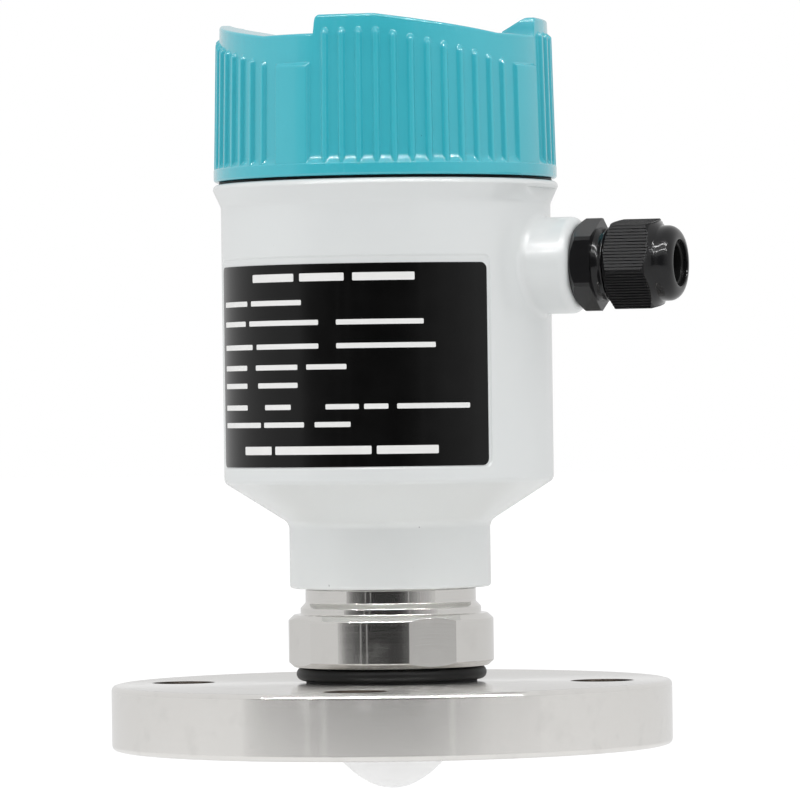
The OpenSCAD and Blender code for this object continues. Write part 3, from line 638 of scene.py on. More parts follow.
def moulded(name, base, gloss, grain, grain_size, shine=0.5, coat=0.0, grip=None):
    """A moulded plastic or rubber with a fine grain; grip is where it has no film, along X."""
    material, shader, place = surface(name)
    clouds = noise(shader, place, 8)
    grains = noise(shader, place, grain_size)
    rough = gloss + (clouds - 0.5) * 0.12
    if grip:
        low, high = grip
        x = split(shader, place)[0]
        ribbed = shader.math("ABSOLUTE", x - (low + high) / 2) < (high - low) / 2
        coat = coat * (1 - ribbed)
        rough = rough + ribbed * 0.18
    finish_material(shader, {
        "Base Color": blend_colours(shader, clouds, base, toned(base, 1.12, lift=0.002)),
        "Roughness": rough,
        "Specular IOR Level": shine,
        "Coat Weight": coat,
        "Coat Roughness": 0.06,
        "Normal": bump(shader, grains, 0.3, grain),
    })
    return material


black_rubber = moulded("black_rubber", colour(0.006, 0.006, 0.006), 0.42, 0.03, 0.5, shine=0.17)
seal_grey = moulded("seal_grey", colour(0.022, 0.022, 0.023), 0.7, 0.04, 0.4)
gland_nylon = moulded(
    "gland_nylon", colour(0.006, 0.006, 0.0066), 0.2, 0.001, 0.45,
    shine=0.16, coat=0.35, grip=(grip_from, grip_to))
module_plastic = moulded("module_plastic", colour(0.03, 0.034, 0.04), 0.5, 0.05, 0.5)
terminal_green = moulded("terminal_green", colour(0.05, 0.27, 0.12), 0.45, 0.04, 0.5)
board_green = moulded("board_green", colour(0.03, 0.17, 0.07), 0.35, 0.03, 0.6)
ptfe = moulded("ptfe", colour(0.90, 0.90, 0.895), 0.33, 0.02, 1.2)
plate_black = moulded("plate_black", colour(0.002, 0.002, 0.002), 0.16, 0.006, 1.4, shine=0.25)
plate_white = moulded("plate_white", colour(0.78, 0.78, 0.77), 0.35, 0.006, 0.8)
print("matte from", round(grip_from, 1), "to", round(grip_to, 1), "mm along the gland")

# %% [markdown]
# ## Finishes on the frame
# The frame's nodes carry the names of their materials' slots. Each one gets the finish of
# that name, so that also the pieces that stay plain solids, such as the boards and screws
# inside, look right when the lid is up.

# %% Give each node its finish
FINISHES = {
    "flange_steel": flange_steel, "polished_steel": polished_steel, "screw_steel": screw_steel,
    "black_rubber": black_rubber, "ptfe": ptfe, "horn_aluminium": horn_aluminium,
    "board_green": board_green, "white_paint": white_paint, "teal_paint": teal_paint,
    "plate_black": plate_black, "module_plastic": module_plastic, "terminal_green": terminal_green,
    "gland_nylon": gland_nylon, "seal_grey": seal_grey,
}
for part in frame["record"]["subparts"]:
    node = frame["nodes"][part["node"]]
    for material_slot in node.material_slots:
        material_slot.link = "OBJECT"
        material_slot.material = FINISHES[part["material_slot"]]
print(len(FINISHES), "finishes on the frame's nodes")

# %% [markdown]
# ## Turning on a lathe
# Most pieces were turned. `lathe` does the same: a few points make one half of the section,
# each corner may have its own rounding, and Spin carries the wire once round the axis. A
# Screw modifier could do this too, but operators let the next step cut the solid at once.

# %% Lathe


def bevel(bm, geom, width, segments, affect="EDGES", clamp=False):
    """Rounds edges or corners; width in millimetres."""
    bmesh.ops.bevel(
        bm, geom=geom, offset=width * mm, offset_type="OFFSET", segments=segments,
        profile=0.5, affect=affect, clamp_overlap=clamp, material=-1)


def round_corner(bm, vert, radius, segments):
    """Rounds one corner of a wire with an arc of a given radius."""
    first, second = [(edge.other_vert(vert).co - vert.co).normalized() for edge in vert.link_edges]
    deflection = pi - first.angle(second)
    bevel(bm, [vert], radius * tan(deflection / 2), segments, affect="VERTICES")


def section_wire(points, closed=True, segments=5):
    """A wire in the XZ plane from (radius, height) or (radius, height, rounding) in millimetres."""
    bm = bmesh.new()
    verts = [bm.verts.new((point[0] * mm, 0, point[1] * mm)) for point in points]
    for first, second in zip(verts, verts[1:]):
        bm.edges.new((first, second))
    if closed:
        bm.edges.new((verts[-1], verts[0]))
    for vert, point in zip(verts, points):
        if len(point) > 2:
            round_corner(bm, vert, point[2], segments)
    return bm


def carry_round(bm, steps):
    """Spins a wire once round the Z axis and closes the skin that it leaves."""
    bmesh.ops.spin(
        bm, geom=bm.verts[:] + bm.edges[:], cent=(0, 0, 0), axis=(0, 0, 1),
        angle=2 * pi, steps=steps, use_merge=True)


def lathe(points, steps=160, closed=True, segments=5):
    """The solid that a section makes when it goes round the Z axis."""
    bm = section_wire(points, closed, segments)
    carry_round(bm, steps)
    bmesh.ops.remove_doubles(bm, verts=bm.verts[:], dist=1e-7)
    return bm


print("160 steps stay within", round(fitting_high.x * (1 - cos(pi / 160)), 4), "mm of a true disc")

# %% [markdown]
# ## Cutting flats
# A spanner's flats are milled on the turned piece. A plane cuts the slice off here as well,
# and one flat face closes the cut. Where the plane meets a bevelled rim, the arched edge of a
# real hexagon comes by itself, which a prism with six sides would never show.

# %% Cut flats and soften edges


def picked(geom, kind):
    """The vertices, edges or faces among an operator's results."""
    return [item for item in geom if isinstance(item, kind)]


def edges_of(faces):
    """Every edge of some faces once, in a fixed order."""
    return list(dict.fromkeys(edge for face in faces for edge in face.edges))


def cut_flat(bm, normal, distance):
    """Cuts everything beyond a plane away and closes the cut with one flat face."""
    normal = Vector(normal).normalized()
    cut = bmesh.ops.bisect_plane(
        bm, geom=bm.verts[:] + bm.edges[:] + bm.faces[:], dist=1e-8,
        plane_co=normal * distance * mm, plane_no=normal, clear_outer=True)
    bmesh.ops.edgeloop_fill(bm, edges=picked(cut["geom_cut"], bmesh.types.BMEdge))


def flats_at(bm, normals, distance):
    """The faces that lie in planes at a distance from the axis."""
    bm.normal_update()
    found = []
    for normal in normals:
        direction = Vector(normal).normalized()
        for face in bm.faces:
            level = abs(face.calc_center_median().dot(direction) - distance * mm) < 1e-6
            if level and abs(face.normal.dot(direction)) > 0.9999:
                found.append(face)
    return found


def soften(bm, faces, width):
    """A small rounding along the outline of some faces."""
    bevel(bm, edges_of(faces), width, 2, clamp=True)


print("a hexagon 24 mm across its flats is", round(24 / cos(pi / 6), 1), "mm across its corners")

# %% [markdown]
# ## Finishing a piece
# Every piece ends the same way. Doubles are merged, faces are turned outwards, and edges
# sharper than the crease angle stay sharp while the rest is shaded smooth. The Weighted
# Normal modifier keeps large flat faces flat beside small roundings. Then the piece is
# parented to the empty of the body it rides on, the CAD nodes that it replaces are hidden,
# and its material is the finish that its slot names, unless another one is given.

# %% Finish a piece


def make_piece(bm, name, body, nodes, slot, material=None, crease=32, even=True):
    """Turns a mesh into a finished piece that rides on a body and stands for CAD nodes."""
    bmesh.ops.remove_doubles(bm, verts=bm.verts[:], dist=1e-7)
    bmesh.ops.recalc_face_normals(bm, faces=bm.faces[:])
    for face in bm.faces:
        face.smooth = True
    limit = radians(crease)
    for edge in bm.edges:
        edge.smooth = len(edge.link_faces) == 2 and edge.calc_face_angle(0) < limit
    open_edges = sum(1 for edge in bm.edges if len(edge.link_faces) != 2)
    obj = new_object(name, bm, material or FINISHES[slot])
    if even:
        obj.modifiers.new("even_shading", "WEIGHTED_NORMAL").keep_sharp = True
    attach(obj, body)
    if nodes:
        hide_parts(*nodes)
    print(name + ":", len(obj.data.polygons), "faces,", open_edges, "open edges")


def thicken(bm, height):
    """Pulls a flat sheet up or down into a slab and closes its sides."""
    made = bmesh.ops.extrude_face_region(bm, geom=bm.faces[:])["geom"]
    bmesh.ops.translate(bm, vec=(0, 0, height * mm), verts=picked(made, bmesh.types.BMVert))
    bmesh.ops.recalc_face_normals(bm, faces=bm.faces[:])


def sharp_edges(bm):
    """Edges where two faces meet at more than 60 degrees."""
    return [e for e in bm.edges if len(e.link_faces) == 2 and e.calc_face_angle(0) > radians(60)]


# %% [markdown]
# ## The flange
# A flange is sawn from bar, faced, drilled and bevelled. A cylinder with Boolean holes would
# leave thin triangles round each hole. Here its plan is drawn as circles and filled in one
# go, so the holes are simply left out. The sheet is pulled up to its thickness, and then the
# outer rims and the holes' rims are bevelled.

# %% Flange
flange_bore_r = 24.0
hole_count = 4


def circle_edges(bm, x, y, radius, steps):
    made = bmesh.ops.create_circle(
        bm, segments=steps, radius=radius * mm, matrix=Matrix.Translation((x * mm, y * mm, 0)))
    return {edge for vert in made["verts"] for edge in vert.link_edges}


def flange_plan():
    bm = bmesh.new()
    rims = circle_edges(bm, 0, 0, flange_r, 256) | circle_edges(bm, 0, 0, flange_bore_r, 128)
    for i in range(hole_count):
        angle = radians(first_hole + 360 / hole_count * i)
        x, y = sin(angle) * bolt_circle_r, -cos(angle) * bolt_circle_r
        rims |= circle_edges(bm, x, y, bolt_hole_r, 72)
    bmesh.ops.triangle_fill(bm, edges=list(rims), use_beauty=True, use_dissolve=False)
    return bm


def rim_edges(bm, height, middle, band):
    """Sharp edges at a height, whose distance from the axis lies in a band round a middle."""
    found = []
    for edge in sharp_edges(bm):
        level = all(abs(vert.co.z - height * mm) < 1e-6 for vert in edge.verts)
        reach = hypot(edge.verts[0].co.x, edge.verts[0].co.y) / mm
        if level and abs(reach - middle) < band:
            found.append(edge)
    return found


bm = flange_plan()
thicken(bm, flange_high.z)
hole_band = bolt_hole_r + 2
for height, middle, band, width, steps in (
    (flange_high.z, flange_r, 2, flange_bevel, 3),
    (0, flange_r, 2, flange_bevel, 3),
    (flange_high.z, bolt_circle_r, hole_band, 0.4, 2),
    (0, bolt_circle_r, hole_band, 0.3, 1),
):
    bevel(bm, rim_edges(bm, height, middle, band), width, steps)
make_piece(bm, "flange_body", "base", ["flange"], "flange_steel")

# %% [markdown]
# ## Seals under the disc
# A round seal and a flat grey ring lie between the flange and the fitting. The round seal is
# one small circle carried round the axis. A torus would be the same shape, but its size is
# given by the ring's middle, where the frame's box gives its outside.

# %% Seals under the disc
seal_low, seal_high = measure("flange_seal")
ring_low, ring_high = measure("seal_washer")
ring_bore_r = 24.1
seal_r = (seal_high.z - seal_low.z) / 2
seal_middle = Vector((seal_high.x - seal_r, 0, seal_low.z + seal_r))

bm = bmesh.new()
bmesh.ops.create_circle(
    bm, segments=28, radius=seal_r * mm,
    matrix=Matrix.Translation(seal_middle * mm) @ Matrix.Rotation(pi / 2, 4, "X"))
carry_round(bm, 160)
make_piece(bm, "round_seal", "base", ["flange_seal"], "black_rubber")

bm = lathe([
    (ring_bore_r, ring_low.z), (ring_high.x, ring_low.z, 0.2),
    (ring_high.x, ring_high.z, 0.2), (ring_bore_r, ring_high.z),
])
make_piece(bm, "flat_washer", "base", ["seal_washer"], "seal_grey")

# %% [markdown]
# ## The process fitting
# The fitting is turned from one bar: a threaded foot, the wide disc, a collar with a bevel, a
# pillar, and a spigot with a groove for the spring ring, on which the housing turns. It is
# hollow, with a pocket for the lens below. Four wrench flats are milled on the disc.

# %% Process fitting
thread_r = 23.9
pocket_r = 20.65
ledge_r = 14.9
ledge_z = 12.7
disc_r = fitting_high.x
disc_low = seal_high.z + 0.05
disc_high = disc_low + 15.4
disc_bevel = 1.6
flats_r = 29.25
collar_r = 26.6
pillar_r = 25.1
pillar_top = housing_low.z - 0.3
spigot_r = 22.95
fitting_bore_r = 17.5
groove_z = housing_low.z + 14.95
groove_w = 1.3
groove_r = spigot_r - 1.4

bm = lathe([
    (pocket_r, fitting_low.z),
    (thread_r - 0.8, fitting_low.z),
    (thread_r, fitting_low.z + 0.8),
    (thread_r, disc_low),
    (disc_r - disc_bevel, disc_low, 0.3),
    (disc_r, disc_low + disc_bevel - 0.1, 0.5),
    (disc_r, disc_high - disc_bevel, 0.5),
    (disc_r - disc_bevel - 0.1, disc_high, 0.4),
    (collar_r, disc_high, 0.5),
    (collar_r, disc_high + 1.9, 0.3),
    (pillar_r, disc_high + 3.5, 0.6),
    (pillar_r, pillar_top, 0.3),
    (spigot_r, pillar_top),
    (spigot_r, groove_z),
    (groove_r, groove_z),
    (groove_r, groove_z + groove_w),
    (spigot_r, groove_z + groove_w),
    (spigot_r, fitting_high.z),
    (fitting_bore_r, fitting_high.z),
    (fitting_bore_r, disc_low - 1.7),
    (ledge_r, disc_low - 1.7),
    (ledge_r, ledge_z),
    (pocket_r, ledge_z),
], steps=256)
wrench_sides = [(sin(radians(45 + 90 * k)), -cos(radians(45 + 90 * k)), 0) for k in range(4)]
for side in wrench_sides:
    cut_flat(bm, side, flats_r)
soften(bm, flats_at(bm, wrench_sides, flats_r), 0.25)
make_piece(bm, "turned_fitting", "base", ["process_fitting"], "polished_steel")

# %% [markdown]
# ## The lens
# The antenna's lens is turned from white fluoroplastic. Its lower face is a paraboloid, which
# makes the radar's beam parallel. A formula gives the curve, because a sphere that is scaled
# flat would be too full at its rim.

# %% Lens
lens_low, lens_high = measure("lens")
lens_r = 18.6
lens_rim_z = 4.85
lens_steps = 20
parts = [i / lens_steps for i in range(lens_steps + 1)]
dome = [(lens_r * part, lens_low.z * (1 - part ** 2)) for part in parts]
bm = lathe(dome + [
    (lens_r, lens_rim_z), (lens_high.x, lens_rim_z, 0.3), (lens_high.x, lens_high.z, 0.3),
    (0, lens_high.z),
], closed=False)
make_piece(bm, "lens_dome", "base", ["lens"], "ptfe", crease=50)

# %% [markdown]
# ## The housing
# The housing is one casting: neck, cone, barrel, flared rim and the boss for the gland.
# Separate pieces that run into each other would show a hard line where they meet, where a
# casting has a fillet. So its section goes round the axis first, and all else is shaped in
# that one skin. The rows on the barrel are laid where the recess and the boss will need them.

# %% Housing sizes
columns = 288
column_angle = 360 / columns
neck_r = 29.6
socket_r = 23.0
throat_r = 25.6
barrel_r = 48.5
chamber_r = 44.2
rim_r = -housing_low.x
lid_bore_r = 45.7
z_neck = housing_low.z
z_socket = z_neck + 14.7
z_cone = z_neck + 19.2
z_barrel = z_cone + 12
z_flare = z_barrel + 81
z_rim = housing_high.z
z_thread_floor = z_rim - 15.6
flare_lean = 0.46
FLARE_RISES = (1.2, 2.1, 3.0, 3.7, 4.2, 4.35)
recess_half = 60.0
plate_turn = -column_angle
recess_depth = 0.3
recess_slope = 0.5
recess_low = plate_low.z - 0.6
recess_high = plate_high.z + 2.4
row_pitch = (recess_high - boss_z) / 3
boss_cells = 16
print("housing from", round(z_neck, 1), "to", round(z_rim, 1), "mm up")
cell_w = barrel_r * radians(column_angle)
print("a cell is", round(row_pitch, 2), "mm high and", round(cell_w, 2), "mm wide")

# %% Housing section


def barrel_rows():
    """Heights of the barrel's rows: close at the recess's corners and round the boss."""
    boss_rows = [boss_z + row_pitch * i for i in range(-boss_cells, boss_cells + 1)]
    low_rows = [recess_low + row_pitch * i for i in range(3)]
    return low_rows + [(low_rows[-1] + boss_rows[0]) / 2] + boss_rows


def housing_section():
    """The housing's half section: outside up, over the rim, then down the inside."""
    outside = [
        (socket_r, z_neck), (neck_r, z_neck, 1), (neck_r, z_cone, 3), (barrel_r, z_barrel, 2),
    ]
    outside += [(barrel_r, z) for z in barrel_rows()]
    outside += [(barrel_r, z_flare, 3)]
    outside += [(barrel_r + flare_lean * rise, z_flare + rise) for rise in FLARE_RISES]
    outside += [
        (rim_r, z_flare + 5, 0.8), (rim_r, z_rim, 1.4), (lid_bore_r, z_rim, 0.3),
        (lid_bore_r, z_thread_floor), (chamber_r, z_thread_floor),
    ]
    inside = [(chamber_r, z) for z in reversed(barrel_rows()) if z < z_thread_floor - 0.4]
    inside += [
        (chamber_r, z_barrel + 2, 1), (throat_r, z_cone + 1.5, 1), (throat_r, z_socket),
        (socket_r, z_socket),
    ]
    return outside + inside


bm = lathe(housing_section(), steps=columns, segments=4)
print(len(barrel_rows()), "rows on the barrel, and", len(bm.faces), "faces in the blank")

# %% [markdown]
# ## The nameplate's recess
# The mould has a shallow step where the nameplate goes. Inset sinks a patch of the barrel's
# faces and leaves a sloping edge round it. The grid gives a patch with square corners, so
# first the vertices beside each corner are moved onto a small arc.

# %% Places on the barrel


def angle_of(point):
    """Degrees round the axis, counted from the middle of the nameplate towards the gland."""
    return degrees(atan2(point.x, -point.y))


def reach_of(point):
    return hypot(point.x, point.y) / mm


def on_barrel(face):
    return all(abs(reach_of(v.co) - barrel_r) < 0.02 for v in face.verts)


def at_place(point, angle, reach, height):
    point.x = sin(radians(angle)) * reach * mm
    point.y = -cos(radians(angle)) * reach * mm
    point.z = height * mm


print("the recess spans", 2 * recess_half, "degrees, and its middle is at", round(plate_turn, 2))

# %% Press the nameplate's recess


def in_recess(face):
    middle = face.calc_center_median()
    across = recess_half - abs(angle_of(middle) - plate_turn)
    up = min(middle.z / mm - recess_low, recess_high - middle.z / mm)
    corner = across < column_angle and up < row_pitch
    return on_barrel(face) and across > 0 and up > 0 and not corner

# The corner's three vertices: cells in from the side and up from the end, and place on the arc.
RECESS_CORNER = [(0, 1, radians(22.5)), (1, 1, radians(45)), (1, 0, radians(67.5))]
corner_cells = 2


def corner_place(angle, z):
    """New angle and height of a vertex beside one of the recess's corners, or None elsewhere."""
    side = 1 if angle > 0 else -1
    cells_in = (recess_half - abs(angle)) / column_angle
    for end, towards in ((recess_low, 1), (recess_high, -1)):
        cells_up = (z - end) * towards / row_pitch
        for across, up, a in RECESS_CORNER:
            if abs(cells_in - across) < 0.1 and abs(cells_up - up) < 0.1:
                inward = corner_cells * (1 - cos(a)) * column_angle
                rise = corner_cells * (1 - sin(a)) * row_pitch
                return plate_turn + side * (recess_half - inward), end + towards * rise
    return None


def round_recess_corners(bm):
    """Moves three vertices beside each corner of the recess onto one arc."""
    for v in bm.verts:
        if abs(reach_of(v.co) - barrel_r) > 0.02:
            continue
        place = corner_place(angle_of(v.co) - plate_turn, v.co.z / mm)
        if place:
            at_place(v.co, place[0], barrel_r, place[1])


recess = [face for face in bm.faces if in_recess(face)]
round_recess_corners(bm)
bmesh.ops.recalc_face_normals(bm, faces=bm.faces[:])
bmesh.ops.inset_region(
    bm, faces=recess, thickness=recess_slope * mm, depth=-recess_depth * mm,
    use_boundary=True, use_even_offset=True)
print("recess pressed in", recess_depth, "mm over", len(recess), "faces")

# %% [markdown]
# ## The flat over the boss
# The flared rim would stand over the cable gland like a shelf, so the casting is cut flat
# there. A Boolean would break the grid that the boss needs. Moving the vertices that stand
# out back to one plane keeps it.

# %% Cut the flare over the boss
notch_x = 48.7
notch_top = z_flare + 4.27
cut = 0
for v in bm.verts:
    if z_flare - 3 < v.co.z / mm < notch_top and v.co.x / mm > notch_x:
        v.co.x = notch_x * mm
        cut += 1
print("flat over the boss:", cut, "vertices moved back")

# %% [markdown]
# ## The boss
# The boss carries the gland, and a fillet joins it to the barrel. Its patch of faces is
# deleted, and the open loop is extruded ring by ring: out over the fillet, along the boss,
# round its edge and back in through the bore. The last ring is bridged to a hole in the
# inner wall, so the boss is drawn out of the wall and nothing has to be joined.

# %% Rings for the boss


def cells_from_boss(point):
    """How many cells a point is away from the gland's axis, round the barrel and up it."""
    return (angle_of(point) - 90) / column_angle, (point.z / mm - boss_z) / row_pitch


def wall_patch(bm, reach, wide, tall):
    """A wall's faces round the gland's axis, up to so many cells across and up."""
    found = []
    for face in bm.faces:
        across, up = cells_from_boss(face.calc_center_median())
        on_wall_here = all(abs(reach_of(v.co) - reach) < 0.1 for v in face.verts)
        if on_wall_here and abs(across) < wide and abs(up) < tall:
            found.append(face)
    return found


def open_patch(bm, faces):
    """Deletes some faces and returns the edges round the hole that they leave."""
    inside = set(faces)
    rim = [e for e in edges_of(faces) if sum(face in inside for face in e.link_faces) == 1]
    bmesh.ops.delete(bm, geom=faces, context="FACES")
    return rim


def draw_ring(bm, edges, place):
    """Extrudes a loop of edges and puts each new vertex where place(turn) says."""
    made = bmesh.ops.extrude_edge_only(bm, edges=edges)["geom"]
    for v in picked(made, bmesh.types.BMVert):
        turn = atan2(v.co.y, v.co.z - boss_z * mm)
        v.co = Vector(place(turn)) * mm
    return [e for e in picked(made, bmesh.types.BMEdge) if len(e.link_faces) == 1]


def on_wall(radius, reach, lift=0.0):
    """A circle round the gland's axis, laid on the wall and lifted off it."""
    def place(turn):
        y, up = radius * sin(turn), radius * cos(turn)
        return sqrt(reach * reach - y * y) + lift, y, boss_z + up
    return place


def in_plane(radius, x):
    """A circle round the gland's axis, in one plane across it."""
    return lambda turn: (x, radius * sin(turn), boss_z + radius * cos(turn))


print("patch for the boss:", len(wall_patch(bm, barrel_r, boss_cells, boss_cells)), "faces")

# %% Draw the boss out of the wall
boss_r = 14.1
boss_end = housing_high.x
boss_root = 2.0
boss_round = 2.7
boss_bore_r = 10.0
boss_bore_end = boss_end - 10.8
passage_r = 8.0
passage_wide, passage_tall = 10, 8
QUARTER_TURN = [pi / 2 * step / 6 for step in range(7)]

inner_rim = open_patch(bm, wall_patch(bm, chamber_r, passage_wide, passage_tall))
loop = open_patch(bm, wall_patch(bm, barrel_r, boss_cells, boss_cells))
for a in QUARTER_TURN:
    radius, lift = boss_r + boss_root * (1 - sin(a)), boss_root * (1 - cos(a))
    loop = draw_ring(bm, loop, on_wall(radius, barrel_r, lift))
for a in QUARTER_TURN:
    radius, x = boss_r - boss_round * (1 - cos(a)), boss_end - boss_round * (1 - sin(a))
    loop = draw_ring(bm, loop, in_plane(radius, x))
loop = draw_ring(bm, loop, in_plane(boss_bore_r + 0.4, boss_end))
loop = draw_ring(bm, loop, in_plane(boss_bore_r, boss_end - 0.4))
loop = draw_ring(bm, loop, in_plane(boss_bore_r, boss_bore_end))
loop = draw_ring(bm, loop, in_plane(passage_r, boss_bore_end))
loop = draw_ring(bm, loop, on_wall(passage_r, chamber_r))
bmesh.ops.bridge_loops(bm, edges=loop + inner_rim)
make_piece(bm, "housing_casting", "housing", ["housing"], "white_paint", crease=28)

# %% [markdown]
# ## The nameplate
# The plate is thin black sheet, bent to the barrel. It is modelled flat, as it is punched:
# one face with rounded corners, sliced by planes so that it can bend, then thickened and bent.
# A Curve modifier could bend it, but a short formula does the same and leaves plain geometry.

# %% Bending sheet


def rounded_rectangle(bm, x, y, width, tall, corner, segments=5):
    """One flat face with rounded corners, centred on x, y; sizes in millimetres."""
    corners = sheet(bm, width * mm, tall * mm)
    bmesh.ops.translate(bm, vec=(x * mm, y * mm, 0), verts=corners)
    bevel(bm, corners, corner, segments, affect="VERTICES")


def slice_upright(bm, width, pitch):
    """Cuts every face along upright lines, so that it can follow the barrel."""
    lines = int(width / pitch / 2)
    for i in range(-lines, lines + 1):
        bmesh.ops.bisect_plane(
            bm, geom=bm.verts[:] + bm.edges[:] + bm.faces[:], dist=1e-7,
            plane_co=(i * pitch * mm, 0, 0), plane_no=(1, 0, 0))


def bend(bm, radius, height, turn):
    """Bends a flat sheet, whose Z is its thickness, round the barrel."""
    for v in bm.verts:
        angle = v.co.x / (radius * mm) + radians(turn)
        reach = radius * mm + v.co.z
        v.co = Vector((sin(angle) * reach, -cos(angle) * reach, v.co.y + height * mm))


plate_r = barrel_r - 0.05
plate_z = (plate_low.z + plate_high.z) / 2
plate_half_angle = 58.5
plate_w = 2 * radians(plate_half_angle) * plate_r
plate_h = plate_high.z - plate_low.z
print("plate", round(plate_w, 1), "x", round(plate_h, 1), "mm when flat")

# %% Nameplate
plate_t = 0.24
plate_corner = 2.0
plate_edge = 0.12

bm = bmesh.new()
rounded_rectangle(bm, 0, 0, plate_w, plate_h, plate_corner)
slice_upright(bm, plate_w, 1.0)
thicken(bm, -plate_t)
front_rims = [e for e in sharp_edges(bm) if all(v.co.z > -1e-6 for v in e.verts)]
bevel(bm, front_rims, plate_edge, 2)
bend(bm, plate_r, plate_z, plate_turn)
make_piece(bm, "bent_nameplate", "housing", ["nameplate"], "plate_black")

# %% [markdown]
# ## The plate's print
# White ink lies on the plate as a film. It could be a pattern in the plate's material, but
# that would hide each bar's place and size in the nodes. So the bars are sheets of 0.03 mm,
# bent like the plate. They stand where lines of print would be, and they say nothing.

# %% Print
# Each line is its height on the plate, the bars' thickness, and each bar's two ends.
PRINT = [
    (25.4, 2.3, [(-27.5, -11), (-9, 5), (7.5, 25.5)]),
    (18.2, 1.5, [(-47, -30.5), (-28.5, -8.5)]),
    (12.4, 1.5, [(-47, -31.5), (-29.5, -3), (2.5, 28)]),
    (5.6, 1.5, [(-47, -28), (-26, -3), (2.5, 31.5)]),
    (-0.4, 1.5, [(-47, -31), (-26.5, -10), (-7, 5.5)]),
    (-5.6, 1.5, [(-47, -31), (-25.5, -10)]),
    (-11.9, 1.5, [(-47, -31), (-22.5, -12.5), (-1, 9), (10.5, 17.5), (20, 42)]),
    (-17, 1.5, [(-47, -24.5), (-23, -8), (-4.5, 6.5)]),
    (-24.4, 2.4, [(-32.5, -20), (-18.5, 12.5), (14, 32)]),
]
print_t = 0.03
print_corner = 0.3

bm = bmesh.new()
for height, thick, bars in PRINT:
    for start, end in bars:
        middle = (start + end) / 2
        rounded_rectangle(bm, middle, height, end - start, thick, print_corner, segments=3)
slice_upright(bm, plate_w, 1.5)
thicken(bm, print_t)
bend(bm, plate_r, plate_z, 0)
make_piece(bm, "nameplate_print", "housing", [], "plate_black", plate_white, even=False)

# %% [markdown]
# ## The cable gland's soft parts
# A thin grey washer seals the gland on the boss, and a rubber insert closes round the cable.
# Both are turned round Z, as everything on the lathe above, and are then laid along the
# gland's axis. Spin could go round X at once, but then each section would need its own axes.

# %% Gland's washer and insert
thin_low, thin_high = measure("gland_washer")
x_washer = thin_low.x
x_hex = thin_high.x
thin_r = thin_high.z - boss_z
thin_bore_r = 10.0
insert_bore_r = 5.5
insert_r = 7.5


def along_gland(bm):
    """Lays a mesh that was turned round Z along the gland's axis."""
    bm.transform(Matrix.Translation((0, 0, boss_z * mm)) @ Matrix.Rotation(pi / 2, 4, "Y"))


bm = lathe([
    (thin_bore_r, x_washer), (thin_r, x_washer, 0.2), (thin_r, x_hex, 0.2), (thin_bore_r, x_hex),
], steps=96)
along_gland(bm)
make_piece(bm, "thin_washer", "housing", ["gland_washer"], "seal_grey")

bm = lathe([
    (insert_bore_r, insert_low.x, 0.4), (insert_r, insert_low.x),
    (insert_r, insert_high.x, 0.3), (insert_bore_r, insert_high.x, 0.5),
], steps=96)
along_gland(bm)
make_piece(bm, "rubber_insert", "gland_core", ["gland_insert"], "black_rubber")

# %% [markdown]
# ## The gland's body
# The body is moulded nylon: a thread in the boss, a hexagon for the spanner, a neck, and
# eight claws that the nut presses round the insert. The hexagon starts as a turned blank with
# a bevel. Six planes cut its sides, and six more take its sharp corners off.

# %% Hexagons and claws
hex_half = 12.0


def six_sides(turn):
    return [(cos(radians(turn + 60 * i)), sin(radians(turn + 60 * i)), 0) for i in range(6)]


def cut_hexagon(bm, half_width, turn):
    """Cuts a turned blank to a hexagon and returns its flat faces, one for each side."""
    sides = six_sides(turn)
    for side in sides:
        cut_flat(bm, side, half_width)
    return flats_at(bm, sides, half_width)


def claws(bm, count, inner, outer, low, high, slot):
    """Clamping claws: one wedge of a ring, copied round the axis."""
    middle = (inner + outer) / 2
    slot_angle = slot / middle
    upright = Matrix.Rotation(pi / 2, 3, "X")
    for i in range(count):
        made = sheet(bm, (outer - inner) * mm, (high - low) * mm)
        bmesh.ops.rotate(bm, cent=(0, 0, 0), matrix=upright, verts=made)
        bmesh.ops.translate(bm, vec=(middle * mm, 0, (low + high) / 2 * mm), verts=made)
        turned = Matrix.Rotation(2 * pi * i / count + slot_angle / 2, 3, "Z")
        bmesh.ops.rotate(bm, cent=(0, 0, 0), matrix=turned, verts=made)
        faces = list(made[0].link_faces)
        bmesh.ops.spin(
            bm, geom=made + faces + edges_of(faces), cent=(0, 0, 0), axis=(0, 0, 1),
            angle=2 * pi / count - slot_angle, steps=6)


print("hexagons are", 2 * hex_half, "mm across their flats")

# %% Gland's body
body_low = measure("gland_body")[0]
hex_bevel = 1.8
hex_corner_half = 13.5
body_turn = 26.5
gland_thread_r = 9.95
gland_bore_r = 6.3
claw_bore_r = 7.6
claw_ring_r = 9.4
neck_rim_r = 10.8
x_neck = x_hex + 6.2
x_neck_end = x_neck + 3
x_claws = x_neck_end + 9.3
x_seat = insert_low.x - 0.05

bm = lathe([
    (gland_bore_r, body_low.x),
    (gland_thread_r, body_low.x, 0.4),
    (gland_thread_r, x_hex),
    (hex_half - 0.1, x_hex),
    (hex_corner_half + 0.5, x_hex + hex_bevel),
    (hex_corner_half + 0.5, x_neck),
    (neck_rim_r + 0.1, x_neck),
    (neck_rim_r - 0.35, x_neck + 0.9),
    (neck_rim_r - 0.35, x_neck_end - 1.1),
    (neck_rim_r, x_neck_end - 0.5),
    (neck_rim_r, x_neck_end, 0.15),
    (claw_ring_r, x_neck_end),
    (claw_ring_r, x_claws),
    (claw_bore_r, x_claws),
    (claw_bore_r, x_seat),
    (gland_bore_r, x_seat),
], steps=120)
cut_hexagon(bm, hex_half, body_turn)
corner_flats = cut_hexagon(bm, hex_corner_half, body_turn + 30)
soften(bm, flats_at(bm, six_sides(body_turn), hex_half) + corner_flats, 0.25)
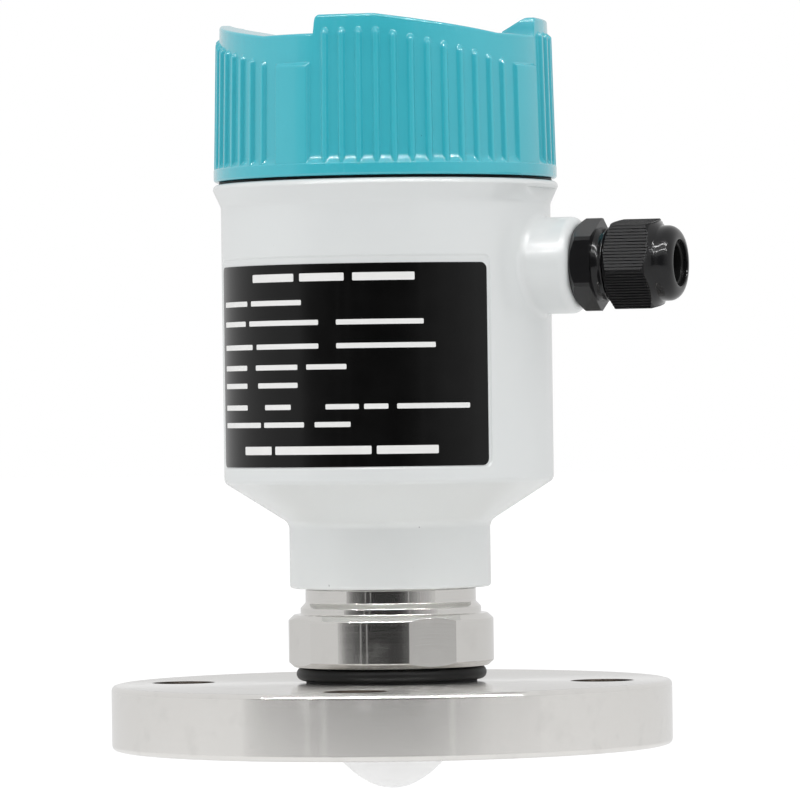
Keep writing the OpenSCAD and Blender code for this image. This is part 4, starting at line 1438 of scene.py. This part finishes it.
claws(bm, count=8, inner=claw_bore_r, outer=8.9, low=x_claws - 0.01, high=x_claws + 5, slot=0.8)
along_gland(bm)
make_piece(bm, "gland_hexagon", "housing", ["gland_body"], "gland_nylon")

# %% [markdown]
# ## The gland's nut
# The dome nut squeezes the claws. Its flats carry fine ribs along the nut for a better grip.
# Ribs in a bump texture would keep a smooth outline, and these show in it. So each flat is
# sliced into strips, and every second strip is sunk by a fraction of a millimetre.

# %% Nut's blank
x_nut = nut_low.x
x_nut_end = nut_high.x
x_dome = x_nut + 14.3
nut_bevel = 2.1
nut_corner_r = hex_half + 1.96
nut_bore_r = 9.7
dome_r = 10.95
dome_bore_r = 7.8
mouth_r = 6.8
mouth_l = 1.3
nut_turn = 9

bm = lathe([
    (nut_bore_r, x_nut),
    (10.9, x_nut, 0.3),
    (nut_corner_r, x_nut + nut_bevel),
    (nut_corner_r, x_dome - 1.5),
    (hex_half - 0.05, x_dome),
    (dome_r, x_dome + 1, 0.8),
    (dome_r, x_nut_end, 3.6),
    (mouth_r, x_nut_end, 0.4),
    (mouth_r, x_nut_end - mouth_l),
    (dome_bore_r, x_nut_end - mouth_l),
    (nut_bore_r, x_dome - 3),
], steps=120, segments=8)
nut_flats = cut_hexagon(bm, hex_half, nut_turn)
print(len(nut_flats), "flats on the nut,", round(x_dome - x_nut, 1), "mm long")

# %% Ribs on the nut
rib_count = 14
rib_depth = 0.28
rib_flank = 0.1


def rib_flat(bm, face, turn):
    """Slices one flat into strips along the nut and sinks every second strip."""
    across = Vector((-sin(radians(turn)), cos(radians(turn)), 0))
    width = 2 * hex_half * tan(pi / 6)
    strip_w = width / rib_count / 2
    region = [face]
    for i in range(1, 2 * rib_count):
        offset = i * strip_w - width / 2
        corners = list(dict.fromkeys(v for f in region for v in f.verts))
        cut = bmesh.ops.bisect_plane(
            bm, geom=region + edges_of(region) + corners, dist=1e-7,
            plane_co=across * offset * mm, plane_no=across)
        found = region + picked(cut["geom"], bmesh.types.BMFace)
        region = [f for f in dict.fromkeys(found) if f.is_valid]

    def strip_number(strip):
        return int((strip.calc_center_median().dot(across) / mm + width / 2) / strip_w)

    strips = [strip for strip in region if strip_number(strip) % 2 == 1]
    bmesh.ops.inset_individual(bm, faces=strips, thickness=rib_flank * mm, depth=-rib_depth * mm)
    return len(strips)


bm.normal_update()
sunk = sum(rib_flat(bm, flat, nut_turn + 60 * i) for i, flat in enumerate(nut_flats))
print(sunk, "strips sunk", rib_depth, "mm")
along_gland(bm)
make_piece(bm, "gland_nut_moulding", "gland_nut", ["gland_nut"], "gland_nylon", crease=30)

# %% [markdown]
# ## The lid's seal
# A black rubber ring lies in the gap under the lid and shows as a thin dark line. In the
# solids it fills the whole gap. Here the lid's foot comes down a quarter of a millimetre into
# it, as it does when the lid is screwed tight, and the ring ends just under the foot.

# %% Lid seal
squeeze = 0.25
gap_low, gap_high = measure("lid_seal")
lid_foot = gap_high.z - squeeze
gap_bore_r = 45.6
gap_r = gap_high.x - 0.9
seal_top = lid_foot - 0.05

bm = lathe([
    (gap_bore_r, gap_low.z), (gap_r, gap_low.z, 0.35), (gap_r, seal_top, 0.35), (gap_bore_r, seal_top),
], steps=192)
make_piece(bm, "lid_seal_ring", "lid_ring", ["lid_seal"], "black_rubber")

# %% [markdown]
# ## The lid
# The lid is one casting with twelve ribs on each of its four lobes, and a rim that is level,
# runs down a ramp and jumps up again. Ribs and lobes could be single solids pushed into a
# cup, but a casting has no seams. Its surface is rolled up from one flat grid instead: the
# columns go round the axis and stand closest where the ribs are, and the rows run round the
# section. Two formulas, one for the rim's height and one for the wall's radius, place each
# vertex, so ribs, panel, ramps and steps all belong to one closed skin.

# %% The lid's sizes
lid_top = lid_high.z
skirt_r = 50.5
skirt_top = lid_foot + 3.7
scoop_h = 2.4
wall_foot_r = skirt_r - 1.3
wall_top_r = wall_foot_r - 1.0
lobe_count = 4
lobe_span = 360 / lobe_count
lobe_start = -4
ribs_per_lobe = 12
tall_ribs = 4
rib_w = 1.65
rib_t = 1.15
first_rib = 0.047 * lobe_span
rib_pitch = 0.7213 * lobe_span / (ribs_per_lobe - 1)
panel_start = 0.833 * lobe_span
panel_end = panel_start + 0.15 * lobe_span
panel_top = lid_top - 13.9
print("lid", round(lid_top - lid_foot, 1), "mm high, a rib every", round(rib_pitch, 2), "degrees")

# %% [markdown]
# ## The rim of a lobe
# Seen from the side each lobe's rim is level first, then falls along a ramp, and ends in a
# steep step up to the next lobe. A height for each angle says all of that. `smooth` turns
# the step's two corners into small rounds, and a short curve rounds the plateau's corner.

# %% Height of the rim
plateau_end = 0.24 * lobe_span
ramp_end = 0.756 * lobe_span
rim_drop = 5.3
step_half = 0.4
corner_drop = 0.7
corner_span = 1.3


def within_unit(t):
    return min(1.0, max(0.0, t))


def smooth(t):
    """Goes from 0 to 1 without a corner at either end."""
    t = within_unit(t)
    return t * t * (3 - 2 * t)


def rim_height(local):
    """Height of the lid's rim at an angle within a lobe."""
    if local < step_half:
        climb = smooth((local + step_half) / (2 * step_half))
        return lid_top - corner_drop * climb - rim_drop * (1 - climb)
    rounded = corner_drop * max(0.0, 1 - (local - step_half) / corner_span) ** 2
    return lid_top - rounded - rim_drop * within_unit((local - plateau_end) / (ramp_end - plateau_end))


print("rim from", round(rim_height(ramp_end), 1), "to", round(rim_height(plateau_end), 1), "mm")

# %% [markdown]
# ## Ribs and panel
# On each lobe four tall ribs are followed by eight that get shorter under the ramp, and then
# comes a raised panel. `relief` says how far the wall stands out at a place: full on a rib,
# nothing between, and a smooth flank on the way. A rib's upper end slopes back like a nose,
# so the distance over its top counts for less than the distance across it.

# %% Ribs and panel
rib_top_depth = 4.4
rib_fall = 8.5
flank = 0.85
nose_slant = 0.6
nose_drop = rib_w / 2 + 0.55
panel_edge = 1.0
panel_lead = 0.3
rim_margin = 1.6


def wall_radius(z):
    return wall_foot_r + (wall_top_r - wall_foot_r) * (z - skirt_top) / (lid_top - skirt_top)


def rib_top(i):
    return lid_top - rib_top_depth - rib_fall * max(0, i + 1 - tall_ribs) / (ribs_per_lobe - tall_ribs)


def row_top(local):
    """Height that the closest rows follow: the ribs' tops, then the panel's top."""
    if local > panel_start - 1:
        after = panel_end + 0.5
        back = max(0.0, (local - after) / (lobe_span - after))
        top = panel_top + (rib_top(0) - panel_top) * min(1.0, back)
    else:
        place = (local - first_rib) / rib_pitch
        i = min(ribs_per_lobe - 1, max(0, int(place)))
        j = min(ribs_per_lobe - 1, i + 1)
        top = rib_top(i) + (rib_top(j) - rib_top(i)) * within_unit(place - i)
    return min(top, rim_height(local) - rim_margin)


def relief(local, z):
    """How far the wall stands out over its plain cone: on a rib, on the panel, or not at all."""
    arc = radians(1) * wall_radius(z)
    height = 0.0
    i = round((local - first_rib) / rib_pitch)
    if 0 <= i < ribs_per_lobe:
        across = abs(local - first_rib - i * rib_pitch) * arc
        above = max(0.0, z - (rib_top(i) - nose_drop)) * nose_slant
        height = smooth((rib_w / 2 + flank / 2 - hypot(across, above)) / flank)
    inside = min((local - panel_start) * arc, (panel_end - local) * arc, panel_top - z)
    height = max(height, smooth((inside + panel_lead) / panel_edge))
    return rib_t * height


print("ribs end between", round(rib_top(ribs_per_lobe - 1), 1), "and", round(rib_top(0), 1), "mm")

# %% [markdown]
# ## Columns
# An even grid that is fine enough for the ribs' flanks would need twice as many columns. So
# they are placed within one lobe: close on the step, on every flank and on the
# panel's edges, and wide on what is plain. The same columns serve all four lobes.

# %% Columns round the lid
STEP_COLUMNS = [-1, -0.5, 0, 0.5, 1]
AFTER_STEP_COLUMNS = [0.6, 0.85, 1.2, 1.7]
FLANK_COLUMNS = [1.25, 1.08, 0.92, 0.76, 0.58, 0.38]
PANEL_EDGE_COLUMNS = [-0.3, -0.1, 0.1, 0.3, 0.5, 0.7]
panel_columns = 7


def lobe_columns():
    """Angles of one lobe's columns: close on the ribs' flanks, wide between."""
    arc = degrees(1 / wall_foot_r)
    columns = [step_half * part for part in STEP_COLUMNS] + AFTER_STEP_COLUMNS
    for i in range(ribs_per_lobe):
        middle = first_rib + i * rib_pitch
        for offset in FLANK_COLUMNS:
            columns += [middle - offset * arc, middle + offset * arc]
        columns += [middle, middle + rib_pitch / 2]
    for edge, side in ((panel_start, 1), (panel_end, -1)):
        columns += [edge + side * inward * arc for inward in PANEL_EDGE_COLUMNS]
    inner = (panel_end - panel_start - 2) / panel_columns
    columns += [panel_start + 1 + inner * i for i in range(panel_columns + 1)]
    return sorted(set(round(c, 4) for c in columns))


COLUMNS = [lobe_start + lobe * lobe_span + c for lobe in range(lobe_count) for c in lobe_columns()]
print(len(COLUMNS), "columns round the lid")

# %% [markdown]
# ## The spigot and its thread
# Under the skirt a spigot with a trapezium thread goes into the housing. It shows when the
# lid is up. The thread is one more formula: the spigot's radius dips where the height, less
# the share of a turn that has passed, falls in a groove, and it fades out at both ends.

# %% Rows of the spigot
thread_pitch = 3.0
thread_depth = 0.8
thread_low = lid_low.z + 1.4
thread_high = lid_foot - 2.0
thread_rows = 32
spigot_out = 45.4
spigot_in = 42.2
spigot_edge = 0.5
dish_floor = lid_top - 8.3
ceiling_z = dish_floor - 4
# A row that ends in the middle keeps a tiny radius, so that merging closes it to one point.
centre_r = 0.001


def thread_radius(angle, z):
    """Outside of the spigot, with a trapezium thread cut into it."""
    turn = ((z - thread_low) / thread_pitch - angle / 360) % 1.0
    tooth = within_unit((abs(turn - 0.5) - 0.12) / 0.14)
    fade = smooth((z - thread_low) / 1.0) * smooth((thread_high - z) / 1.0)
    return spigot_out - thread_depth * (1 - tooth) * fade


def spigot_rows(angle):
    """From the ceiling's middle down inside the spigot, and up its threaded outside."""
    rows = [(centre_r, ceiling_z), (30, ceiling_z), (36.2, ceiling_z), (spigot_in, ceiling_z - 5)]
    rows += [(spigot_in, lid_low.z + spigot_edge), (spigot_in + spigot_edge, lid_low.z)]
    rows += [(spigot_out - 0.7, lid_low.z)]
    for i in range(thread_rows + 1):
        z = lid_low.z + spigot_edge + (lid_foot - 1.0 - lid_low.z) * i / thread_rows
        rows.append((thread_radius(angle, z), z))
    return rows + [(spigot_out, lid_foot)]


print("spigot's rows:", len(spigot_rows(0)))

# %% [markdown]
# ## The skirt, the wall and the dish
# The rest of the section goes up outside and in over the top. The skirt has two rounded
# corners and a scoop that leads up to the wall. The wall's rows are closest where ribs and
# panel end. The dish falls in at a shallow slope, turns at its knee and gets steep down to
# its floor, and where a lobe's rim lies lower, the dish's side starts lower on the same line.

# %% Rows of the skirt and the wall
foot_round = 0.8
skirt_round = 0.35
rim_round = 0.8
scoop_rows = 6
# Lifts of the rows round the height where ribs and panel end, in millimetres.
NOSE_ROWS = [-1.2, -0.7, -0.45, -0.2, 0.05, 0.3, 0.5, 0.72]


def arc_points(middle_r, middle_z, radius, start, end, steps):
    turns = [radians(start + (end - start) * i / steps) for i in range(steps + 1)]
    return [(middle_r + radius * cos(turn), middle_z + radius * sin(turn)) for turn in turns]


def skirt_rows(local):
    """The skirt's two rounded corners, and the scoop up to the wall."""
    rows = arc_points(skirt_r - foot_round, lid_foot + foot_round, foot_round, -90, 0, 4)
    rows += arc_points(skirt_r - skirt_round, skirt_top - skirt_round, skirt_round, 0, 60, 3)
    for i in range(1, scoop_rows + 1):
        z = skirt_top + scoop_h * i / scoop_rows
        plain = wall_radius(z)
        scoop = plain + (skirt_r - 0.15 - plain) * (1 - i / scoop_rows) ** 2
        rows.append((max(scoop, plain + relief(local, z)), z))
    return rows


def wall_rows(local):
    """Up the wall, and over the rounding of its rim."""
    top = rim_height(local)
    peak = row_top(local)
    low = skirt_top + scoop_h + 0.4
    heights = [low + (peak - 1.7 - low) * part for part in (0, 0.25, 0.5, 0.75, 1)]
    heights += [peak + lift for lift in NOSE_ROWS]
    heights += [(peak + NOSE_ROWS[-1] + top - rim_round) / 2, top - rim_round]
    rows = [(wall_radius(z) + relief(local, z), z) for z in heights]
    return rows + arc_points(wall_radius(top) - rim_round, top - rim_round, rim_round, 10, 90, 5)


print("rows of the skirt and the wall:", len(skirt_rows(0) + wall_rows(0)))

# %% Rows of the dish
dish_edge_r = wall_top_r - 3.3
knee_r = wall_top_r - 10
knee_z = lid_top - 3.8
dish_floor_r = wall_top_r - 11.8


def dish_radius(z):
    """Radius of the dish's side: shallow over the knee and steep below it."""
    if z > knee_z:
        return knee_r + (dish_edge_r - knee_r) * (z - knee_z) / (lid_top - knee_z)
    return dish_floor_r + (knee_r - dish_floor_r) * (z - dish_floor) / (knee_z - dish_floor)


def dish_rows(local):
    """In from the rim, over the knee and down to the floor's middle."""
    top = rim_height(local)
    lip_r = dish_radius(top)
    knee = min(knee_z, top - 0.5)
    bend_r = dish_radius(knee)
    return [
        (lip_r + 0.7, top), (lip_r + 0.25, top - 0.05), (lip_r - 0.15, top - 0.25),
        ((lip_r + bend_r + 0.45) / 2, (top + knee) / 2),
        (bend_r + 0.5, knee + 0.2), (bend_r, knee - 0.1), (bend_r - 0.25, knee - 0.6),
        (dish_floor_r + 0.55, dish_floor + 1.2), (dish_floor_r + 0.15, dish_floor + 0.5),
        (dish_floor_r - 0.45, dish_floor + 0.12), (dish_floor_r - 1.3, dish_floor),
        (20, dish_floor), (centre_r, dish_floor),
    ]


def lid_section(angle):
    """Radius and height of every row at one angle, from the ceiling round to the dish."""
    local = (angle - lobe_start + 1) % lobe_span - 1
    return spigot_rows(angle) + skirt_rows(local) + wall_rows(local) + dish_rows(local)


row_count = len(lid_section(0))
print(row_count, "rows round the lid's section")

# %% [markdown]
# ## Rolling the lid up
# A flat grid has one face for each step of a column and a row. Each vertex is sent to its
# angle, radius and height, and the last column lands on the first, where merging the doubles
# closes the skin. It is one operator and one loop, and no list of faces is written.

# %% Roll the lid up


def rolled_lid():
    bm = bmesh.new()
    sides = len(COLUMNS)
    bmesh.ops.create_grid(bm, x_segments=sides, y_segments=row_count - 1, size=0.5)
    sections = [lid_section(angle) for angle in COLUMNS]
    for v in bm.verts:
        i = round((v.co.x + 0.5) * sides) % sides
        j = round((v.co.y + 0.5) * (row_count - 1))
        reach, height = sections[i][j]
        at_place(v.co, COLUMNS[i], reach, height)
    bmesh.ops.remove_doubles(bm, verts=bm.verts[:], dist=2e-6)
    return bm


make_piece(rolled_lid(), "ribbed_lid", "lid", ["lid"], "teal_paint", crease=40)

# %% [markdown]
# ## Close the scene
# The boxes of the imported model and of the dressed one are printed, so that they can be
# compared. What was added has to stay inside the imported model's box.

# %% Print the boxes
new_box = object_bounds()
for name, box in (("CAD", cad_box), ("dressed", new_box)):
    print(name, [[round(v / mm, 2) for v in corner] for corner in box])
